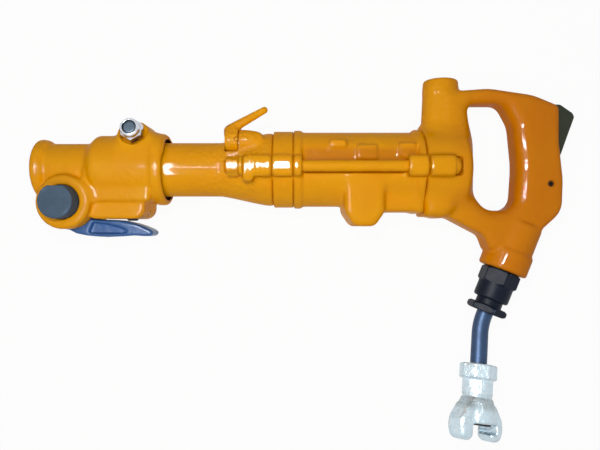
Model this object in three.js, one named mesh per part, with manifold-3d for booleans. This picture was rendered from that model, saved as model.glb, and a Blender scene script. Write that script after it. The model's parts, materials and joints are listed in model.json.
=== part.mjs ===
// Pneumatic rock drill with a D-handle, lying on its side.
// Lengths are in millimetres. X runs from the nose to the handle, Y towards the throttle tower,
// and Z up from the ground. Inside the model x is zero at the joint of cylinder and handle,
// and y and z are zero on the drill axis.
import * as THREE from 'three';
import { mergeVertices } from 'three/addons/utils/BufferGeometryUtils.js';
import Module from 'manifold-3d';

const wasm = await Module();
wasm.setup();

// Fits and overruns
const seatGap = 0.3;
const runningGap = 0.35;
const overrun = 2;
const weldTolerance = 0.0001;

// Smoothness of round shapes, as counts and an angle
const bigSides = 36;
const mediumSides = 24;
const smallSides = 16;
const tinySides = 8;
const hexSides = 6;
const octagonSides = 8;
const arcStepAngle = Math.PI / 7;
const curveSteps = 5;

// Stations along the drill axis
const cylinderLength = 119;
const centreRingLength = 18;
const barrelShownLength = 100;
const barrelInsertLength = 60;
const headLength = 120;
const lugReach = 46;

// Castings in general
const castingBevel = 2;
const castingCorner = 3.6;

// Front head casting
const noseFlangeRadius = 28.5;
const noseFlangeThickness = 4;
const noseFlangeFillet = 9;
const noseBoreRadius = 20;
const noseMouthChamfer = 2.5;
const neckRadius = 24.5;
const neckLength = 46;
const shoulderLength = 12;
const headBodyRadius = 32;
const rearRingRadius = 33.5;
const rearRingLength = 11;
const rearRecessRadius = 28.8;
const rearRecessDepth = 4.5;
const headWebHalfWidth = 24;
const headWebDrop = 31;
const headWebLength = 56;

// Latch pin, its boss and the latch lever
const latchFromNose = 31.5;
const latchDrop = 31.5;
const latchPinRadius = 15.2;
const latchPinReach = 46;
const latchBossRadius = 24.5;
const latchBossReach = 32;
const latchTurnAngle = THREE.MathUtils.degToRad(65);
const leverHalfWidth = 12;
const leverLength = 77;
const leverHubRadius = 25.5;
const leverHubStartAngle = THREE.MathUtils.degToRad(-122);
const leverHubEndAngle = THREE.MathUtils.degToRad(-36);
const leverPocketDepth = 3.2;
const leverBevel = 1.4;
const leverPinRadius = 2.5;

// Latch plunger and its housing
const housingHalfWidth = 23;
const housingDrop = 46.6;
const housingLength = 54;
const housingFromRear = 17;
const housingEndRadius = 10;
const plungerFromRear = 34;
const plungerRadius = 6;
const plungerTopDrop = 37;
const plungerBoreTopDrop = 28;
const plungerTravel = 4;
const plungerPinDrop = 40.5;
const plungerPinRadius = 1.6;
const plungerSpringRadius = 4;
const plungerSpringWire = 1;
const plungerSpringTurns = 4;

// Clamp ear, bolt and lock nut
const clampFromRear = 27;
const clampOffset = 28;
const clampTilt = THREE.MathUtils.degToRad(10);
const clampBoltRadius = 6;
const clampSeatReach = 27.5;
const clampPocketRadius = 12.5;
const clampPocketDepth = 20;
const earRadius = 14.5;
const earHalfWidth = 25;
const earFootLength = 27;
const earSlitWidth = 3;
const clampNutFlats = 18.5;
const clampNutHexHeight = 8.5;
const clampNutHeight = 14;
const clampNutCollarRadius = 8.6;
const clampBoltHeadHeight = 8;

// Barrel, also called the chuck housing
const barrelRadius = 25.3;
const barrelFrontBoreRadius = 20.4;
const barrelRearBoreRadius = 18.9;
const barrelStepFromRing = 51;
const barrelFlareRadius = 34;
const barrelFlareLength = 48;
const barrelCollarLength = 6;
const barrelGrooveGap = 0.4;

// Blow valve on the barrel
const blowAxisHeight = 25;
const blowAxisSide = 19;
const blowHubRadius = 10.5;
const blowHubLength = 12;
const blowHubFromRing = 31.5;
const blowHumpLength = 27;
const blowHumpRadius = 9.6;
const blowSpindleRadius = 4.6;
const blowSpindleCollar = 6.2;
const blowArmRun = 31;
const blowArmRise = 17.4;
const blowArmRootRadius = 4.5;
const blowArmTipRadius = 3.1;
const blowPinRadius = 1.6;
const blowCradleRadius = 13.4;

// Centre ring and stem bushing
const ringRadius = 35.8;
const ringBoreRadius = 24;

// Cylinder
const cylinderRadius = 35;
const cylinderBoreRadius = 25.1;
const cylinderFlangeRadius = 36.8;
const cylinderFlangeLength = 8;
const cylinderRearFlangeRadius = 37.5;
const cylinderRearFlangeLength = 7;
const cylinderFlatReach = 30;
const cylinderFlatTop = 19.5;
const bellyDrop = 40.2;
const bellyHalfWidth = 26;
const channelPadHeight = 2.6;
const exhaustFrontX = 73;
const exhaustLength = 36.6;
const exhaustDrop = 53.5;
const exhaustHalfWidth = 33;
const exhaustCornerRadius = 12;
const exhaustPortLength = 18;
const exhaustPortWidth = 38;

// Side rods and their lugs
const rodOffset = 37;
const rodRadius = 5;
const lugHalfHeight = 9.5;
const lugCorner = 5.5;
const lugInnerReach = 20;
const rodFrontFromRing = 43;
const rodNutLength = 11;
const rodNutFlats = 15.4;
const rodWasherLength = 3;
const rodWasherRadius = 8.8;
const barrelEarLength = 9;
const barrelEarDrop = 14;
const rodEarSetback = 17;
const cylinderRearLugLength = 18;
const handleLugLength = 17.6;
const rodHeadLength = 11.5;
const rodHeadRadius = 8.2;

// Handle casting
const handleLength = 131;
const towerHeight = 84.3;
const handleDrop = 44.6;
const handleHalfWidth = 17;
const handleBevel = 4.5;
const backheadRadius = 37;
const backheadLength = 36;
const backheadDomeLength = 16;
const backheadCavityRadius = 26.6;
const backheadCavityDepth = 22;
const towerCapRadius = 16.4;
const towerCapHeight = 8;
const towerDraft = 3.6;
const towerCentreX = 20.3;
const towerBoreRadius = 8;
const openingRollWidth = 13;
const openingRollDepth = 13;
const airPassageRadius = 4;

// Trigger and throttle
const triggerHalfWidth = 7;
const triggerSlotGap = 0.8;
const triggerPinRadius = 2.4;
const triggerPinHeadRadius = 3.2;
const triggerPivotShares = [0.90458, -0.168446];
const throttleHeight = 4;
const throttleBoreRadius = 7.5;
const throttleChamberLength = 15.6;
const throttleChamberFromGripFace = 38.5;
const throttleStemRadius = 2.4;
const throttleDiscRadius = 5.6;
const throttleDiscThickness = 2.3;
const throttleSeatLength = 6;
const throttleSpringLength = 6.6;
const throttleSpringRadius = 3.4;
const throttleSpringWire = 0.8;
const throttleSpringTurns = 3;

// Air inlet
const inletLean = THREE.MathUtils.degToRad(21.6);
const inletFromJoint = 78.7;
const inletDrop = 95.3;
const inletCollarRadius = 22.5;
const inletCollarLength = 15;
const inletNeckRadius = 20.5;
const inletBossLength = 44;
const inletBoreRadius = 13;
const bushingFlats = 32.5;
const bushingHexLength = 14.5;
const bushingRoundRadius = 16.2;
const bushingLength = 30;
const bushingShankLength = 16;
const bushingBoreRadius = 10.6;
const bushingChamfer = 1.5;
const glandNeckRadius = 12.2;
const glandNeckLength = 5.6;
const glandFlats = 33;
const glandThickness = 7;
const glandBoreGap = 0.5;
const strainerRadius = 9;
const strainerLength = 20;
const strainerWall = 1.2;

// Swivel tube and coupling
const tubeRadius = 7.6;
const tubeBoreRadius = 5.4;
const tubeCollarRadius = 10.1;
const tubeCollarLength = 5;
const tubeSealLength = 3;
const tubeBend = THREE.MathUtils.degToRad(20.5);
const tubeBendRadius = 52;
const tubeStraightOut = 3;
const tubeStraightIn = 28;
const tubeInsert = 12;
const swivelTurn = THREE.MathUtils.degToRad(50);
const couplingFlats = 31.5;
const couplingHexLength = 13;
const couplingBodyRadius = 13.6;
const couplingBodyLength = 18;
const couplingGrooveDepth = 1.2;
const couplingGrooveLength = 3.5;
const couplingHeadRadius = 17.5;
const couplingHeadLength = 21;
const couplingBoreRadius = 8;
const clawReach = 28;
const clawForward = 15;
const clawHalfWidth = 9;
const clawLipLength = 5;
const clawBevel = 1.5;
const clawLipDepth = 4.5;
const clawAngle = THREE.MathUtils.degToRad(-75);
const gasketOuterRadius = 13;
const gasketInnerRadius = 9;
const gasketProud = 1.6;
const gasketSeatDepth = 5;

// Chuck
const chuckSleeveRadius = 20;
const chuckSleeveWall = 3;
const chuckSleeveFrontGap = 9;
const shankFlats = 22.6;
const shankLength = 82;
const driverRadius = 18.5;
const driverLength = 46;
const driverNutLength = 20;
const driverRingGap = 6.5;

// Piston
const pistonStroke = 42;
const pistonHeadLength = 42;
const pistonHeadGap = 0.45;
const pistonFrontRoom = 9;
const stemRadius = 14.5;
const stemSplineDepth = 2;
const stemSplineCount = 8;
const stemSplineGap = 0.4;
const stemSplineLength = 68;
const pistonBoreRadius = 10.2;
const pistonBoreEnd = 12;

// Rifle bar and ratchet
const rifleRadius = 9.2;
const rifleRootRadius = 7.4;
const rifleSplineCount = 4;
const rifleLead = 760;
const rifleGap = 0.5;
const rifleLength = 82;
const rifleNutRadius = 15;
const rifleNutLength = 20;
const rifleShankRadius = 7;
const rifleHeadRadius = 18;
const rifleHeadLength = 12;
const rifleJournalRadius = 8;
const ratchetOuterRadius = 26.2;
const ratchetTipRadius = 21.2;
const ratchetRootRadius = 23.4;
const ratchetToothCount = 16;
const pawlCount = 4;
const pawlWidth = 5;
const pawlInnerRadius = 12.5;
const bearingPlateLength = 6;

// Valve
const valveCoverLength = 5;
const valvePlateLength = 2.4;
const valvePlateTravel = 1.2;
const valveChestLength = 12.4;
const valveOuterRadius = 24.7;
const valvePlateRadius = 21;
const valvePlateBoreRadius = 13.5;
const valvePortRadius = 2.2;
const valvePortCount = 4;

// Stations that follow from the lengths above
const cylinderFrontX = -cylinderLength;
const ringRearX = cylinderFrontX - seatGap;
const ringFrontX = ringRearX - centreRingLength;
const barrelRearX = ringFrontX - seatGap;
const headRearX = barrelRearX - barrelShownLength;
const barrelFrontX = headRearX - barrelInsertLength;
const headFrontX = headRearX - headLength;
const latchX = headFrontX + latchFromNose;
const clampX = headRearX - clampFromRear;
const plungerX = headRearX - plungerFromRear;
const triggerPivotX = handleLength * triggerPivotShares[0];
const triggerPivotY = towerHeight * triggerPivotShares[1];
const handleFrontX = seatGap;
const barrelStepX = barrelRearX - barrelStepFromRing;
const driverRearX = barrelRearX - driverRingGap;
const driverFrontX = driverRearX - driverLength;
const chuckFrontX = barrelFrontX + chuckSleeveFrontGap;
const blowHubRearX = barrelRearX - blowHubFromRing;
const blowHubFrontX = blowHubRearX - blowHubLength;
const rodEarFrontX = ringFrontX - rodEarSetback - barrelEarLength;

// Finishes
const finishes = {
  paint: { color: 0xe29b00, roughness: 0.22, metalness: 0.05 },
  darkSteel: { color: 0x3f4b5c, roughness: 0.35, metalness: 0.75 },
  pinSteel: { color: 0x50647a, roughness: 0.6, metalness: 0.5 },
  zinc: { color: 0xc6ced2, roughness: 0.35, metalness: 0.8 },
  machined: { color: 0x9fa3a6, roughness: 0.3, metalness: 0.9 },
  bronze: { color: 0xb08a4a, roughness: 0.4, metalness: 0.85 },
  trigger: { color: 0x3c4440, roughness: 0.5, metalness: 0.3 },
  rubber: { color: 0x1c1c1e, roughness: 0.8, metalness: 0 },
};

// Turns a closed geometry into a solid that can be joined and cut
function solid(geometry) {
  geometry.deleteAttribute('normal');
  geometry.deleteAttribute('uv');
  const merged = mergeVertices(geometry, weldTolerance);
  const corners = merged.attributes.position.array;
  const whole = [];
  let volume = 0;
  for (let i = 0; i < merged.index.count; i += 3) {
    const [a, b, c] = merged.index.array.slice(i, i + 3);
    if (a === b || b === c || c === a) continue;
    const [p, q, r] = [a, b, c].map((k) => new THREE.Vector3().fromArray(corners, k * 3));
    volume += p.dot(q.cross(r));
    whole.push([a, b, c]);
  }
  const facing = volume < 0 ? whole.map(([a, b, c]) => [a, c, b]) : whole;
  const mesh = { numProp: 3, vertProperties: corners, triVerts: new Uint32Array(facing.flat()) };
  return new wasm.Manifold(new wasm.Mesh(mesh));
}

function join(...solids) {
  return solids.reduce((sum, next) => sum.add(next));
}

function cut(first, ...tools) {
  return tools.reduce((rest, tool) => rest.subtract(tool), first);
}

// Makes a named mesh of a solid
function piece(name, body, finish) {
  const { vertProperties, triVerts } = body.getMesh();
  const indexed = new THREE.BufferGeometry();
  indexed.setAttribute('position', new THREE.Float32BufferAttribute(vertProperties, 3));
  indexed.setIndex(new THREE.Uint32BufferAttribute(triVerts, 1));
  const geometry = indexed.toNonIndexed();
  geometry.computeVertexNormals();
  const mesh = new THREE.Mesh(geometry, new THREE.MeshStandardMaterial(finishes[finish]));
  mesh.name = name;
  return mesh;
}

// Solid of revolution about the X axis, from pairs of x and radius
function turned(profile, sides) {
  const points = profile.map(([x, radius]) => new THREE.Vector2(radius, x));
  return solid(new THREE.LatheGeometry(points, sides).rotateZ(-Math.PI / 2));
}

// A disc or rod on the X axis
function drum(fromX, toX, radius, sides) {
  return turned([[fromX, 0], [fromX, radius], [toX, radius], [toX, 0]], sides);
}

// A ring on the X axis
function ring(fromX, toX, outer, inner, sides) {
  const loop = [[fromX, inner], [fromX, outer], [toX, outer], [toX, inner], [fromX, inner]];
  return turned(loop, sides);
}

function block(lowX, highX, lowY, highY, lowZ, highZ) {
  const geometry = new THREE.BoxGeometry(highX - lowX, highY - lowY, highZ - lowZ);
  geometry.translate((lowX + highX) / 2, (lowY + highY) / 2, (lowZ + highZ) / 2);
  return solid(geometry);
}

// A round or many-sided bar between two points, tapered if a second radius is given
function bar(from, to, radius, sides, endRadius = radius, spin = 0) {
  const start = new THREE.Vector3(...from);
  const end = new THREE.Vector3(...to);
  const along = end.clone().sub(start);
  const geometry = new THREE.CylinderGeometry(endRadius, radius, along.length(), sides);
  geometry.rotateY(spin);
  const upright = new THREE.Vector3(0, 1, 0);
  geometry.applyQuaternion(new THREE.Quaternion().setFromUnitVectors(upright, along.clone().normalize()));
  geometry.translate(...start.add(end).multiplyScalar(1 / 2).toArray());
  return solid(geometry);
}

function ball(centre, radius, sides) {
  const geometry = new THREE.SphereGeometry(radius, sides, sides / 2);
  return solid(geometry.translate(...centre));
}

// Corner radius of a hexagon or octagon from its size across the flats
function cornerRadius(flats, sides) {
  return flats / 2 / Math.cos(Math.PI / sides);
}

// Rounds the corners of an outline given as x, y and corner radius
function rounded(corners) {
  const count = corners.length;
  const points = [];
  corners.forEach(([x, y, radius = 0], i) => {
    const corner = new THREE.Vector2(x, y);
    const [bx, by] = corners[(i + count - 1) % count];
    const [ax, ay] = corners[(i + 1) % count];
    const back = new THREE.Vector2(bx, by).sub(corner);
    const ahead = new THREE.Vector2(ax, ay).sub(corner);
    const room = Math.min(back.length(), ahead.length()) / 2;
    back.normalize();
    ahead.normalize();
    const inside = Math.acos(THREE.MathUtils.clamp(back.dot(ahead), -1, 1));
    const reach = Math.min(radius / Math.tan(inside / 2), room * roundRoomShare);
    if (radius === 0 || Math.PI - inside < flatCornerAngle) {
      points.push(corner);
      return;
    }
    const fitted = reach * Math.tan(inside / 2);
    const bisector = back.clone().add(ahead).normalize();
    const centre = corner.clone().addScaledVector(bisector, fitted / Math.sin(inside / 2));
    const start = corner.clone().addScaledVector(back, reach).sub(centre);
    const sweep = Math.PI - inside;
    const side = Math.sign(back.x * ahead.y - back.y * ahead.x);
    const steps = Math.max(1, Math.ceil(sweep / arcStepAngle));
    for (let k = 0; k <= steps; k += 1) {
      const spoke = start.clone().rotateAround(new THREE.Vector2(), -side * sweep * (k / steps));
      points.push(centre.clone().add(spoke));
    }
  });
  return points;
}
const roundRoomShare = 0.96;
const flatCornerAngle = 0.02;

function shapeOf(points) {
  return new THREE.Shape(points.map((p) => (p.isVector2 ? p : new THREE.Vector2(...p))));
}

// An outline in x and y, drawn out along z, with bevelled rims that stay inside the outline
function plate(points, lowZ, highZ, bevel = 0, bevelSteps = 2) {
  const depth = highZ - lowZ - 2 * bevel;
  const settings = { depth, bevelEnabled: bevel > 0, bevelSegments: bevelSteps };
  Object.assign(settings, { bevelSize: bevel, bevelThickness: bevel, bevelOffset: -bevel });
  const shape = Array.isArray(points) ? shapeOf(points) : points;
  const geometry = new THREE.ExtrudeGeometry(shape, { ...settings, curveSegments: curveSteps });
  return solid(geometry.translate(0, 0, lowZ + bevel));
}

// An outline in y and z, drawn out along x
function slab(points, lowX, highX) {
  const geometry = new THREE.ExtrudeGeometry(shapeOf(points), { depth: highX - lowX, bevelEnabled: false });
  geometry.rotateY(Math.PI / 2).rotateX(Math.PI / 2);
  return solid(geometry.translate(lowX, 0, 0));
}

// Joins outlines of equal point counts, each placed by its own matrix, into one body
function loft(given, places) {
  const clockwise = THREE.ShapeUtils.isClockWise(given[0]);
  const outlines = clockwise ? given.map((outline) => [...outline].reverse()) : given;
  const count = outlines[0].length;
  const positions = [];
  outlines.forEach((outline, i) => {
    outline.forEach((p) => {
      const placed = new THREE.Vector3(p.x, p.y, 0).applyMatrix4(places[i]);
      positions.push(...placed.toArray());
    });
  });
  const index = [];
  for (let i = 0; i + 1 < outlines.length; i += 1) {
    for (let k = 0; k < count; k += 1) {
      const [a, b] = [i * count + k, i * count + ((k + 1) % count)];
      index.push(a, b, b + count, a, b + count, a + count);
    }
  }
  const lastRing = (outlines.length - 1) * count;
  THREE.ShapeUtils.triangulateShape(outlines[0], []).forEach(([a, b, c]) => index.push(c, b, a));
  THREE.ShapeUtils.triangulateShape(outlines[outlines.length - 1], []).forEach((face) => {
    index.push(...face.map((k) => k + lastRing));
  });
  const geometry = new THREE.BufferGeometry();
  geometry.setAttribute('position', new THREE.Float32BufferAttribute(positions, 3));
  geometry.setIndex(index);
  return solid(geometry);
}

// Moves an outline outwards by a distance, point by point along its normals
function grown(outline, distance) {
  const count = outline.length;
  const turnSign = THREE.ShapeUtils.area(outline) > 0 ? 1 : -1;
  return outline.map((point, i) => {
    const before = outline[(i + count - 1) % count];
    const after = outline[(i + 1) % count];
    const along = after.clone().sub(before).normalize();
    const reach = turnSign * distance;
    return new THREE.Vector2(point.x + along.y * reach, point.y - along.x * reach);
  });
}

// Points of a circle
function circle(radius, sides, centreX = 0, centreY = 0) {
  return Array.from({ length: sides }, (_, k) => {
    const angle = (2 * Math.PI * k) / sides;
    return new THREE.Vector2(centreX + radius * Math.cos(angle), centreY + radius * Math.sin(angle));
  });
}

// A round tube along a curve
function pipe(curve, radius, sides, steps) {
  const settings = { steps, extrudePath: curve, bevelEnabled: false };
  return solid(new THREE.ExtrudeGeometry(shapeOf(circle(radius, sides)), settings));
}

// A wound spring as one unbroken wire. It prints the least gap between neighbouring turns.
class Helix extends THREE.Curve {
  constructor(place, radius, length, turns) {
    super();
    Object.assign(this, { place, radius, length, turns });
  }

  getPoint(t, target = new THREE.Vector3()) {
    const angle = 2 * Math.PI * this.turns * t;
    const [a, b] = [this.radius * Math.cos(angle), this.radius * Math.sin(angle)];
    return target.set(this.length * t, a, b).applyMatrix4(this.place);
  }
}
const springSides = 5;
const springStepsPerTurn = 8;

function wound(name, place, radius, wire, length, turns) {
  const curve = new Helix(place, radius, length - wire, turns);
  const count = turns * springStepsPerTurn;
  const points = curve.getPoints(count);
  let least = Infinity;
  points.forEach((p, i) => {
    points.slice(i + springStepsPerTurn / 2).forEach((q) => {
      least = Math.min(least, p.distanceTo(q) - wire);
    });
  });
  console.log(`${name}: least gap between turns ${least.toFixed(2)} mm`);
  return pipe(curve, wire / 2, springSides, count);
}

function onAxis(x, y = 0, z = 0) {
  return new THREE.Matrix4().makeTranslation(x, y, z);
}

// Front head

function latchPlace(angle) {
  const there = onAxis(latchX, -latchDrop);
  return there.multiply(new THREE.Matrix4().makeRotationZ(angle)).multiply(onAxis(-latchX, latchDrop));
}

function transformed(geometrySolid, matrix) {
  const { vertProperties, triVerts } = geometrySolid.getMesh();
  const geometry = new THREE.BufferGeometry();
  geometry.setAttribute('position', new THREE.Float32BufferAttribute(vertProperties, 3));
  geometry.setIndex(new THREE.Uint32BufferAttribute(triVerts, 1));
  return solid(geometry.applyMatrix4(matrix));
}

// A point on the clamp bolt's axis, at a distance from its middle towards the nut
function onClampBolt(distance) {
  const [sine, cosine] = [Math.sin(clampTilt), Math.cos(clampTilt)];
  const y = clampOffset * cosine + distance * sine;
  return [clampX, y, -clampOffset * sine + distance * cosine];
}

function headShell() {
  const filletSteps = 4;
  const profile = [[headFrontX, 0], [headFrontX, noseFlangeRadius]];
  const filletX = headFrontX + noseFlangeThickness;
  for (let k = 0; k <= filletSteps; k += 1) {
    const angle = (Math.PI / 2) * (k / filletSteps);
    const x = filletX + noseFlangeFillet * Math.sin(angle);
    profile.push([x, noseFlangeRadius - (noseFlangeRadius - neckRadius) * (1 - Math.cos(angle))]);
  }
  const shoulderX = headFrontX + neckLength;
  profile.push([shoulderX, neckRadius]);
  profile.push([shoulderX + shoulderLength / 2, (neckRadius + headBodyRadius) / 2]);
  profile.push([shoulderX + shoulderLength, headBodyRadius]);
  profile.push([headRearX - rearRingLength, headBodyRadius]);
  profile.push([headRearX - rearRingLength + (rearRingRadius - headBodyRadius), rearRingRadius]);
  profile.push([headRearX - noseMouthChamfer, rearRingRadius]);
  profile.push([headRearX, rearRingRadius - noseMouthChamfer], [headRearX, 0]);
  return turned(profile, bigSides);
}

// The plunger housing under the head, with its slanted front end and round rear end
function plungerHousing() {
  const rearX = headRearX - housingFromRear;
  const frontX = rearX - housingLength;
  const [slantShare, cornerShare] = [0.09, 0.12];
  const outline = rounded([
    [frontX + housingLength * slantShare, -plungerBoreTopDrop + barrelGrooveGap],
    [frontX, -housingDrop + housingLength * cornerShare, castingCorner],
    [frontX + housingLength * cornerShare, -housingDrop, castingCorner],
    [rearX, -housingDrop, housingEndRadius],
    [rearX, -plungerBoreTopDrop + barrelGrooveGap],
  ]);
  return plate(outline, -housingHalfWidth, housingHalfWidth, castingBevel);
}

function clampEar() {
  const foot = earFootLength;
  const footY = clampOffset / 2;
  const outline = rounded([
    [clampX - earRadius, footY],
    [clampX + foot, footY],
    [clampX + earRadius / 2, clampOffset + earRadius, earRadius / 2],
    [clampX - earRadius, clampOffset + earRadius, earRadius],
  ]);
  return plate(outline, -earHalfWidth, earHalfWidth, castingBevel);
}

function frontHead() {
  const web = block(
    headRearX - housingFromRear - headWebLength, headRearX - rearRingLength,
    -headWebDrop, 0, -headWebHalfWidth, headWebHalfWidth,
  );
  const latchBoss = bar(
    [latchX, -latchDrop, -latchBossReach], [latchX, -latchDrop, latchBossReach], latchBossRadius, bigSides,
  );
  const whole = join(headShell(), web, latchBoss, plungerHousing(), clampEar());
  const bore = turned([
    [headFrontX - overrun, 0],
    [headFrontX - overrun, noseBoreRadius + noseMouthChamfer + overrun],
    [headFrontX + noseMouthChamfer, noseBoreRadius],
    [barrelFrontX - seatGap, noseBoreRadius],
    [barrelFrontX - seatGap, barrelRadius + seatGap],
    [headRearX - rearRecessDepth, barrelRadius + seatGap],
    [headRearX - rearRecessDepth, rearRecessRadius],
    [headRearX + overrun, rearRecessRadius],
    [headRearX + overrun, 0],
  ], bigSides);
  const pinBore = bar(
    [latchX, -latchDrop, -latchPinReach], [latchX, -latchDrop, latchPinReach],
    latchPinRadius + runningGap, bigSides,
  );
  const leverSlot = block(
    latchX - latchBossRadius - overrun, latchX + latchBossRadius + leverHalfWidth,
    -latchDrop - latchBossRadius - overrun, -neckRadius - overrun,
    -leverHalfWidth - runningGap, leverHalfWidth + runningGap,
  );
  const swept = bar(
    [latchX, -latchDrop, -leverHalfWidth - runningGap], [latchX, -latchDrop, leverHalfWidth + runningGap],
    leverHubRadius + runningGap, bigSides,
  );
  const slotRoom = swept.intersect(block(
    latchX - 2 * leverHubRadius, latchX + 2 * leverHubRadius, -latchDrop - 2 * leverHubRadius,
    -neckRadius - overrun, -leverHalfWidth - overrun, leverHalfWidth + overrun,
  ));
  const plungerBore = bar(
    [plungerX, -housingDrop - overrun, 0], [plungerX, -plungerBoreTopDrop, 0],
    plungerRadius + runningGap, smallSides,
  );
  const plungerPinBore = bar(
    [plungerX - plungerRadius - plungerPinRadius, -plungerPinDrop, 0],
    [headRearX, -plungerPinDrop, 0], plungerPinRadius + seatGap, tinySides,
  );
  const boltBore = bar(
    onClampBolt(-earHalfWidth * 2), onClampBolt(earHalfWidth * 2), clampBoltRadius + seatGap, smallSides,
  );
  const pockets = [-1, 1].map((side) => bar(
    onClampBolt(side * clampSeatReach * pocketSeatShare),
    onClampBolt(side * (clampSeatReach + clampPocketDepth)),
    clampPocketRadius, smallSides,
  ));
  const slit = block(
    clampX - earRadius - overrun, headRearX + overrun, barrelRadius - overrun,
    clampOffset + earRadius + overrun, -earSlitWidth / 2, earSlitWidth / 2,
  );
  const bored = cut(whole, bore, pinBore, leverSlot, slotRoom, plungerBore, plungerPinBore);
  return piece('front_head', cut(bored, boltBore, ...pockets, slit), 'paint');
}
const pocketSeatShare = 0.82;

// Latch

// The pin has a notch that lets the steel's collar by once the lever is turned
function latchPin() {
  const reach = latchPinReach;
  const core = bar([latchX, -latchDrop, -reach], [latchX, -latchDrop, reach], latchPinRadius, bigSides);
  const notch = drum(latchX - 2 * latchPinRadius, latchX + 2 * latchPinRadius, noseBoreRadius, bigSides);
  const keyBore = latchKeyBar(leverPinRadius + seatGap);
  return piece('latch_pin', cut(core, transformed(notch, latchPlace(latchTurnAngle)), keyBore), 'pinSteel');
}

function latchKeyBar(radius) {
  const direction = (leverHubStartAngle + leverHubEndAngle) / 2;
  const at = (distance) => [
    latchX + distance * Math.cos(direction), -latchDrop + distance * Math.sin(direction), 0,
  ];
  return bar(at(latchPinRadius * keyDepthShare), at(leverHubRadius + overrun), radius, tinySides);
}
const keyDepthShare = 0.45;

function leverOutline() {
  const at = (radius, angle) => [
    latchX + radius * Math.cos(angle), -latchDrop + radius * Math.sin(angle),
  ];
  const inner = latchPinRadius + seatGap;
  const hubSteps = 6;
  const points = [];
  for (let k = 0; k <= hubSteps; k += 1) {
    const angle = leverHubEndAngle + (leverHubStartAngle - leverHubEndAngle) * (k / hubSteps);
    points.push(at(inner, angle));
  }
  points.push(at(leverHubRadius * leverHeelShare, leverHubStartAngle));
  points.push(at(leverHubRadius, (leverHubStartAngle * 2 + leverHubEndAngle) / 3));
  leverEdgeShares.forEach(([along, across]) => {
    points.push([latchX + leverLength * along, -latchDrop - leverLength * across]);
  });
  return points;
}
const leverHeelShare = 0.85;
const leverEdgeShares = [
  [0.06, 0.372], [0.186, 0.398], [0.438, 0.416], [0.752, 0.398], [0.962, 0.41], [0.998, 0.365],
  [0.942, 0.316], [0.752, 0.246], [0.6, 0.215], [0.374, 0.206], [0.25, 0.195],
];
const leverPocketShares = [
  [0.34, 0.39], [0.44, 0.225], [0.53, 0.222], [0.66, 0.25], [0.8, 0.305], [0.88, 0.35], [0.72, 0.37],
  [0.5, 0.387],
];

function latchLever() {
  const body = plate(leverOutline(), -leverHalfWidth, leverHalfWidth, leverBevel, 1);
  const pocketOutline = leverPocketShares.map(([along, across]) => [
    latchX + leverLength * along, -latchDrop - leverLength * across,
  ]);
  const floorZ = leverHalfWidth - leverPocketDepth;
  const topZ = leverHalfWidth + overrun;
  const pockets = [plate(pocketOutline, floorZ, topZ), plate(pocketOutline, -topZ, -floorZ)];
  return piece('latch_lever', cut(body, ...pockets, latchKeyBar(leverPinRadius + seatGap)), 'darkSteel');
}

function latchKey() {
  const short = latchKeyBar(leverPinRadius);
  const hub = bar(
    [latchX, -latchDrop, -leverHalfWidth], [latchX, -latchDrop, leverHalfWidth],
    leverHubRadius - seatGap, mediumSides,
  );
  return piece('latch_key_pin', short.intersect(hub), 'machined');
}

function latchPlunger() {
  const tipY = -latchDrop - leverLength * plungerTipShare + seatGap;
  const neckY = tipY + plungerRadius * plungerNoseShare;
  const noseRadius = plungerRadius * (1 - plungerNoseShare);
  const body = join(
    bar([plungerX, neckY, 0], [plungerX, -plungerTopDrop, 0], plungerRadius, smallSides),
    bar([plungerX, tipY, 0], [plungerX, neckY, 0], noseRadius, smallSides, plungerRadius),
  );
  const half = plungerPinRadius + seatGap;
  const slot = block(
    plungerX - plungerRadius - overrun, plungerX + plungerRadius + overrun,
    -plungerPinDrop - half - plungerTravel, -plungerPinDrop + half, -half, half,
  );
  return piece('latch_plunger', cut(body, slot), 'machined');
}
const plungerTipShare = 0.222;
const plungerNoseShare = 0.33;

function plungerPin() {
  const endX = headRearX - housingFromRear - plungerPinRadius;
  const pin = bar(
    [plungerX - plungerRadius, -plungerPinDrop, 0], [endX, -plungerPinDrop, 0], plungerPinRadius, tinySides,
  );
  return piece('plunger_pin', pin, 'machined');
}

function plungerSpring() {
  const low = -plungerTopDrop + seatGap + plungerSpringWire / 2;
  const length = plungerTopDrop - plungerBoreTopDrop - 2 * seatGap;
  const place = onAxis(plungerX, low).multiply(new THREE.Matrix4().makeRotationZ(Math.PI / 2));
  const [radius, wire] = [plungerSpringRadius, plungerSpringWire];
  const spring = wound('plunger_spring', place, radius, wire, length, plungerSpringTurns);
  return piece('plunger_spring', spring, 'machined');
}

// Clamp

function clampBolt() {
  const head = bar(
    onClampBolt(-clampSeatReach - seatGap - clampBoltHeadHeight), onClampBolt(-clampSeatReach - seatGap),
    cornerRadius(clampNutFlats, hexSides), hexSides,
  );
  const end = clampSeatReach + seatGap + clampNutHeight - clampNutRecess;
  const start = -clampSeatReach - 2 * seatGap;
  const shank = bar(onClampBolt(start), onClampBolt(end), clampBoltRadius, smallSides);
  return piece('clamp_bolt', join(head, shank), 'darkSteel');
}
const clampNutRecess = 0.6;

function clampNut() {
  const start = clampSeatReach + seatGap;
  const hex = bar(
    onClampBolt(start), onClampBolt(start + clampNutHexHeight),
    cornerRadius(clampNutFlats, hexSides), hexSides,
  );
  const collar = bar(
    onClampBolt(start + clampNutHexHeight - seatGap), onClampBolt(start + clampNutHeight),
    clampNutCollarRadius, smallSides, clampNutCollarRadius * nutTaperShare,
  );
  const end = start + clampNutHeight + overrun;
  const hole = bar(onClampBolt(0), onClampBolt(end), clampBoltRadius + seatGap, smallSides);
  return piece('clamp_nut', cut(join(hex, collar), hole), 'zinc');
}
const nutTaperShare = 0.94;

// Barrel

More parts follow.
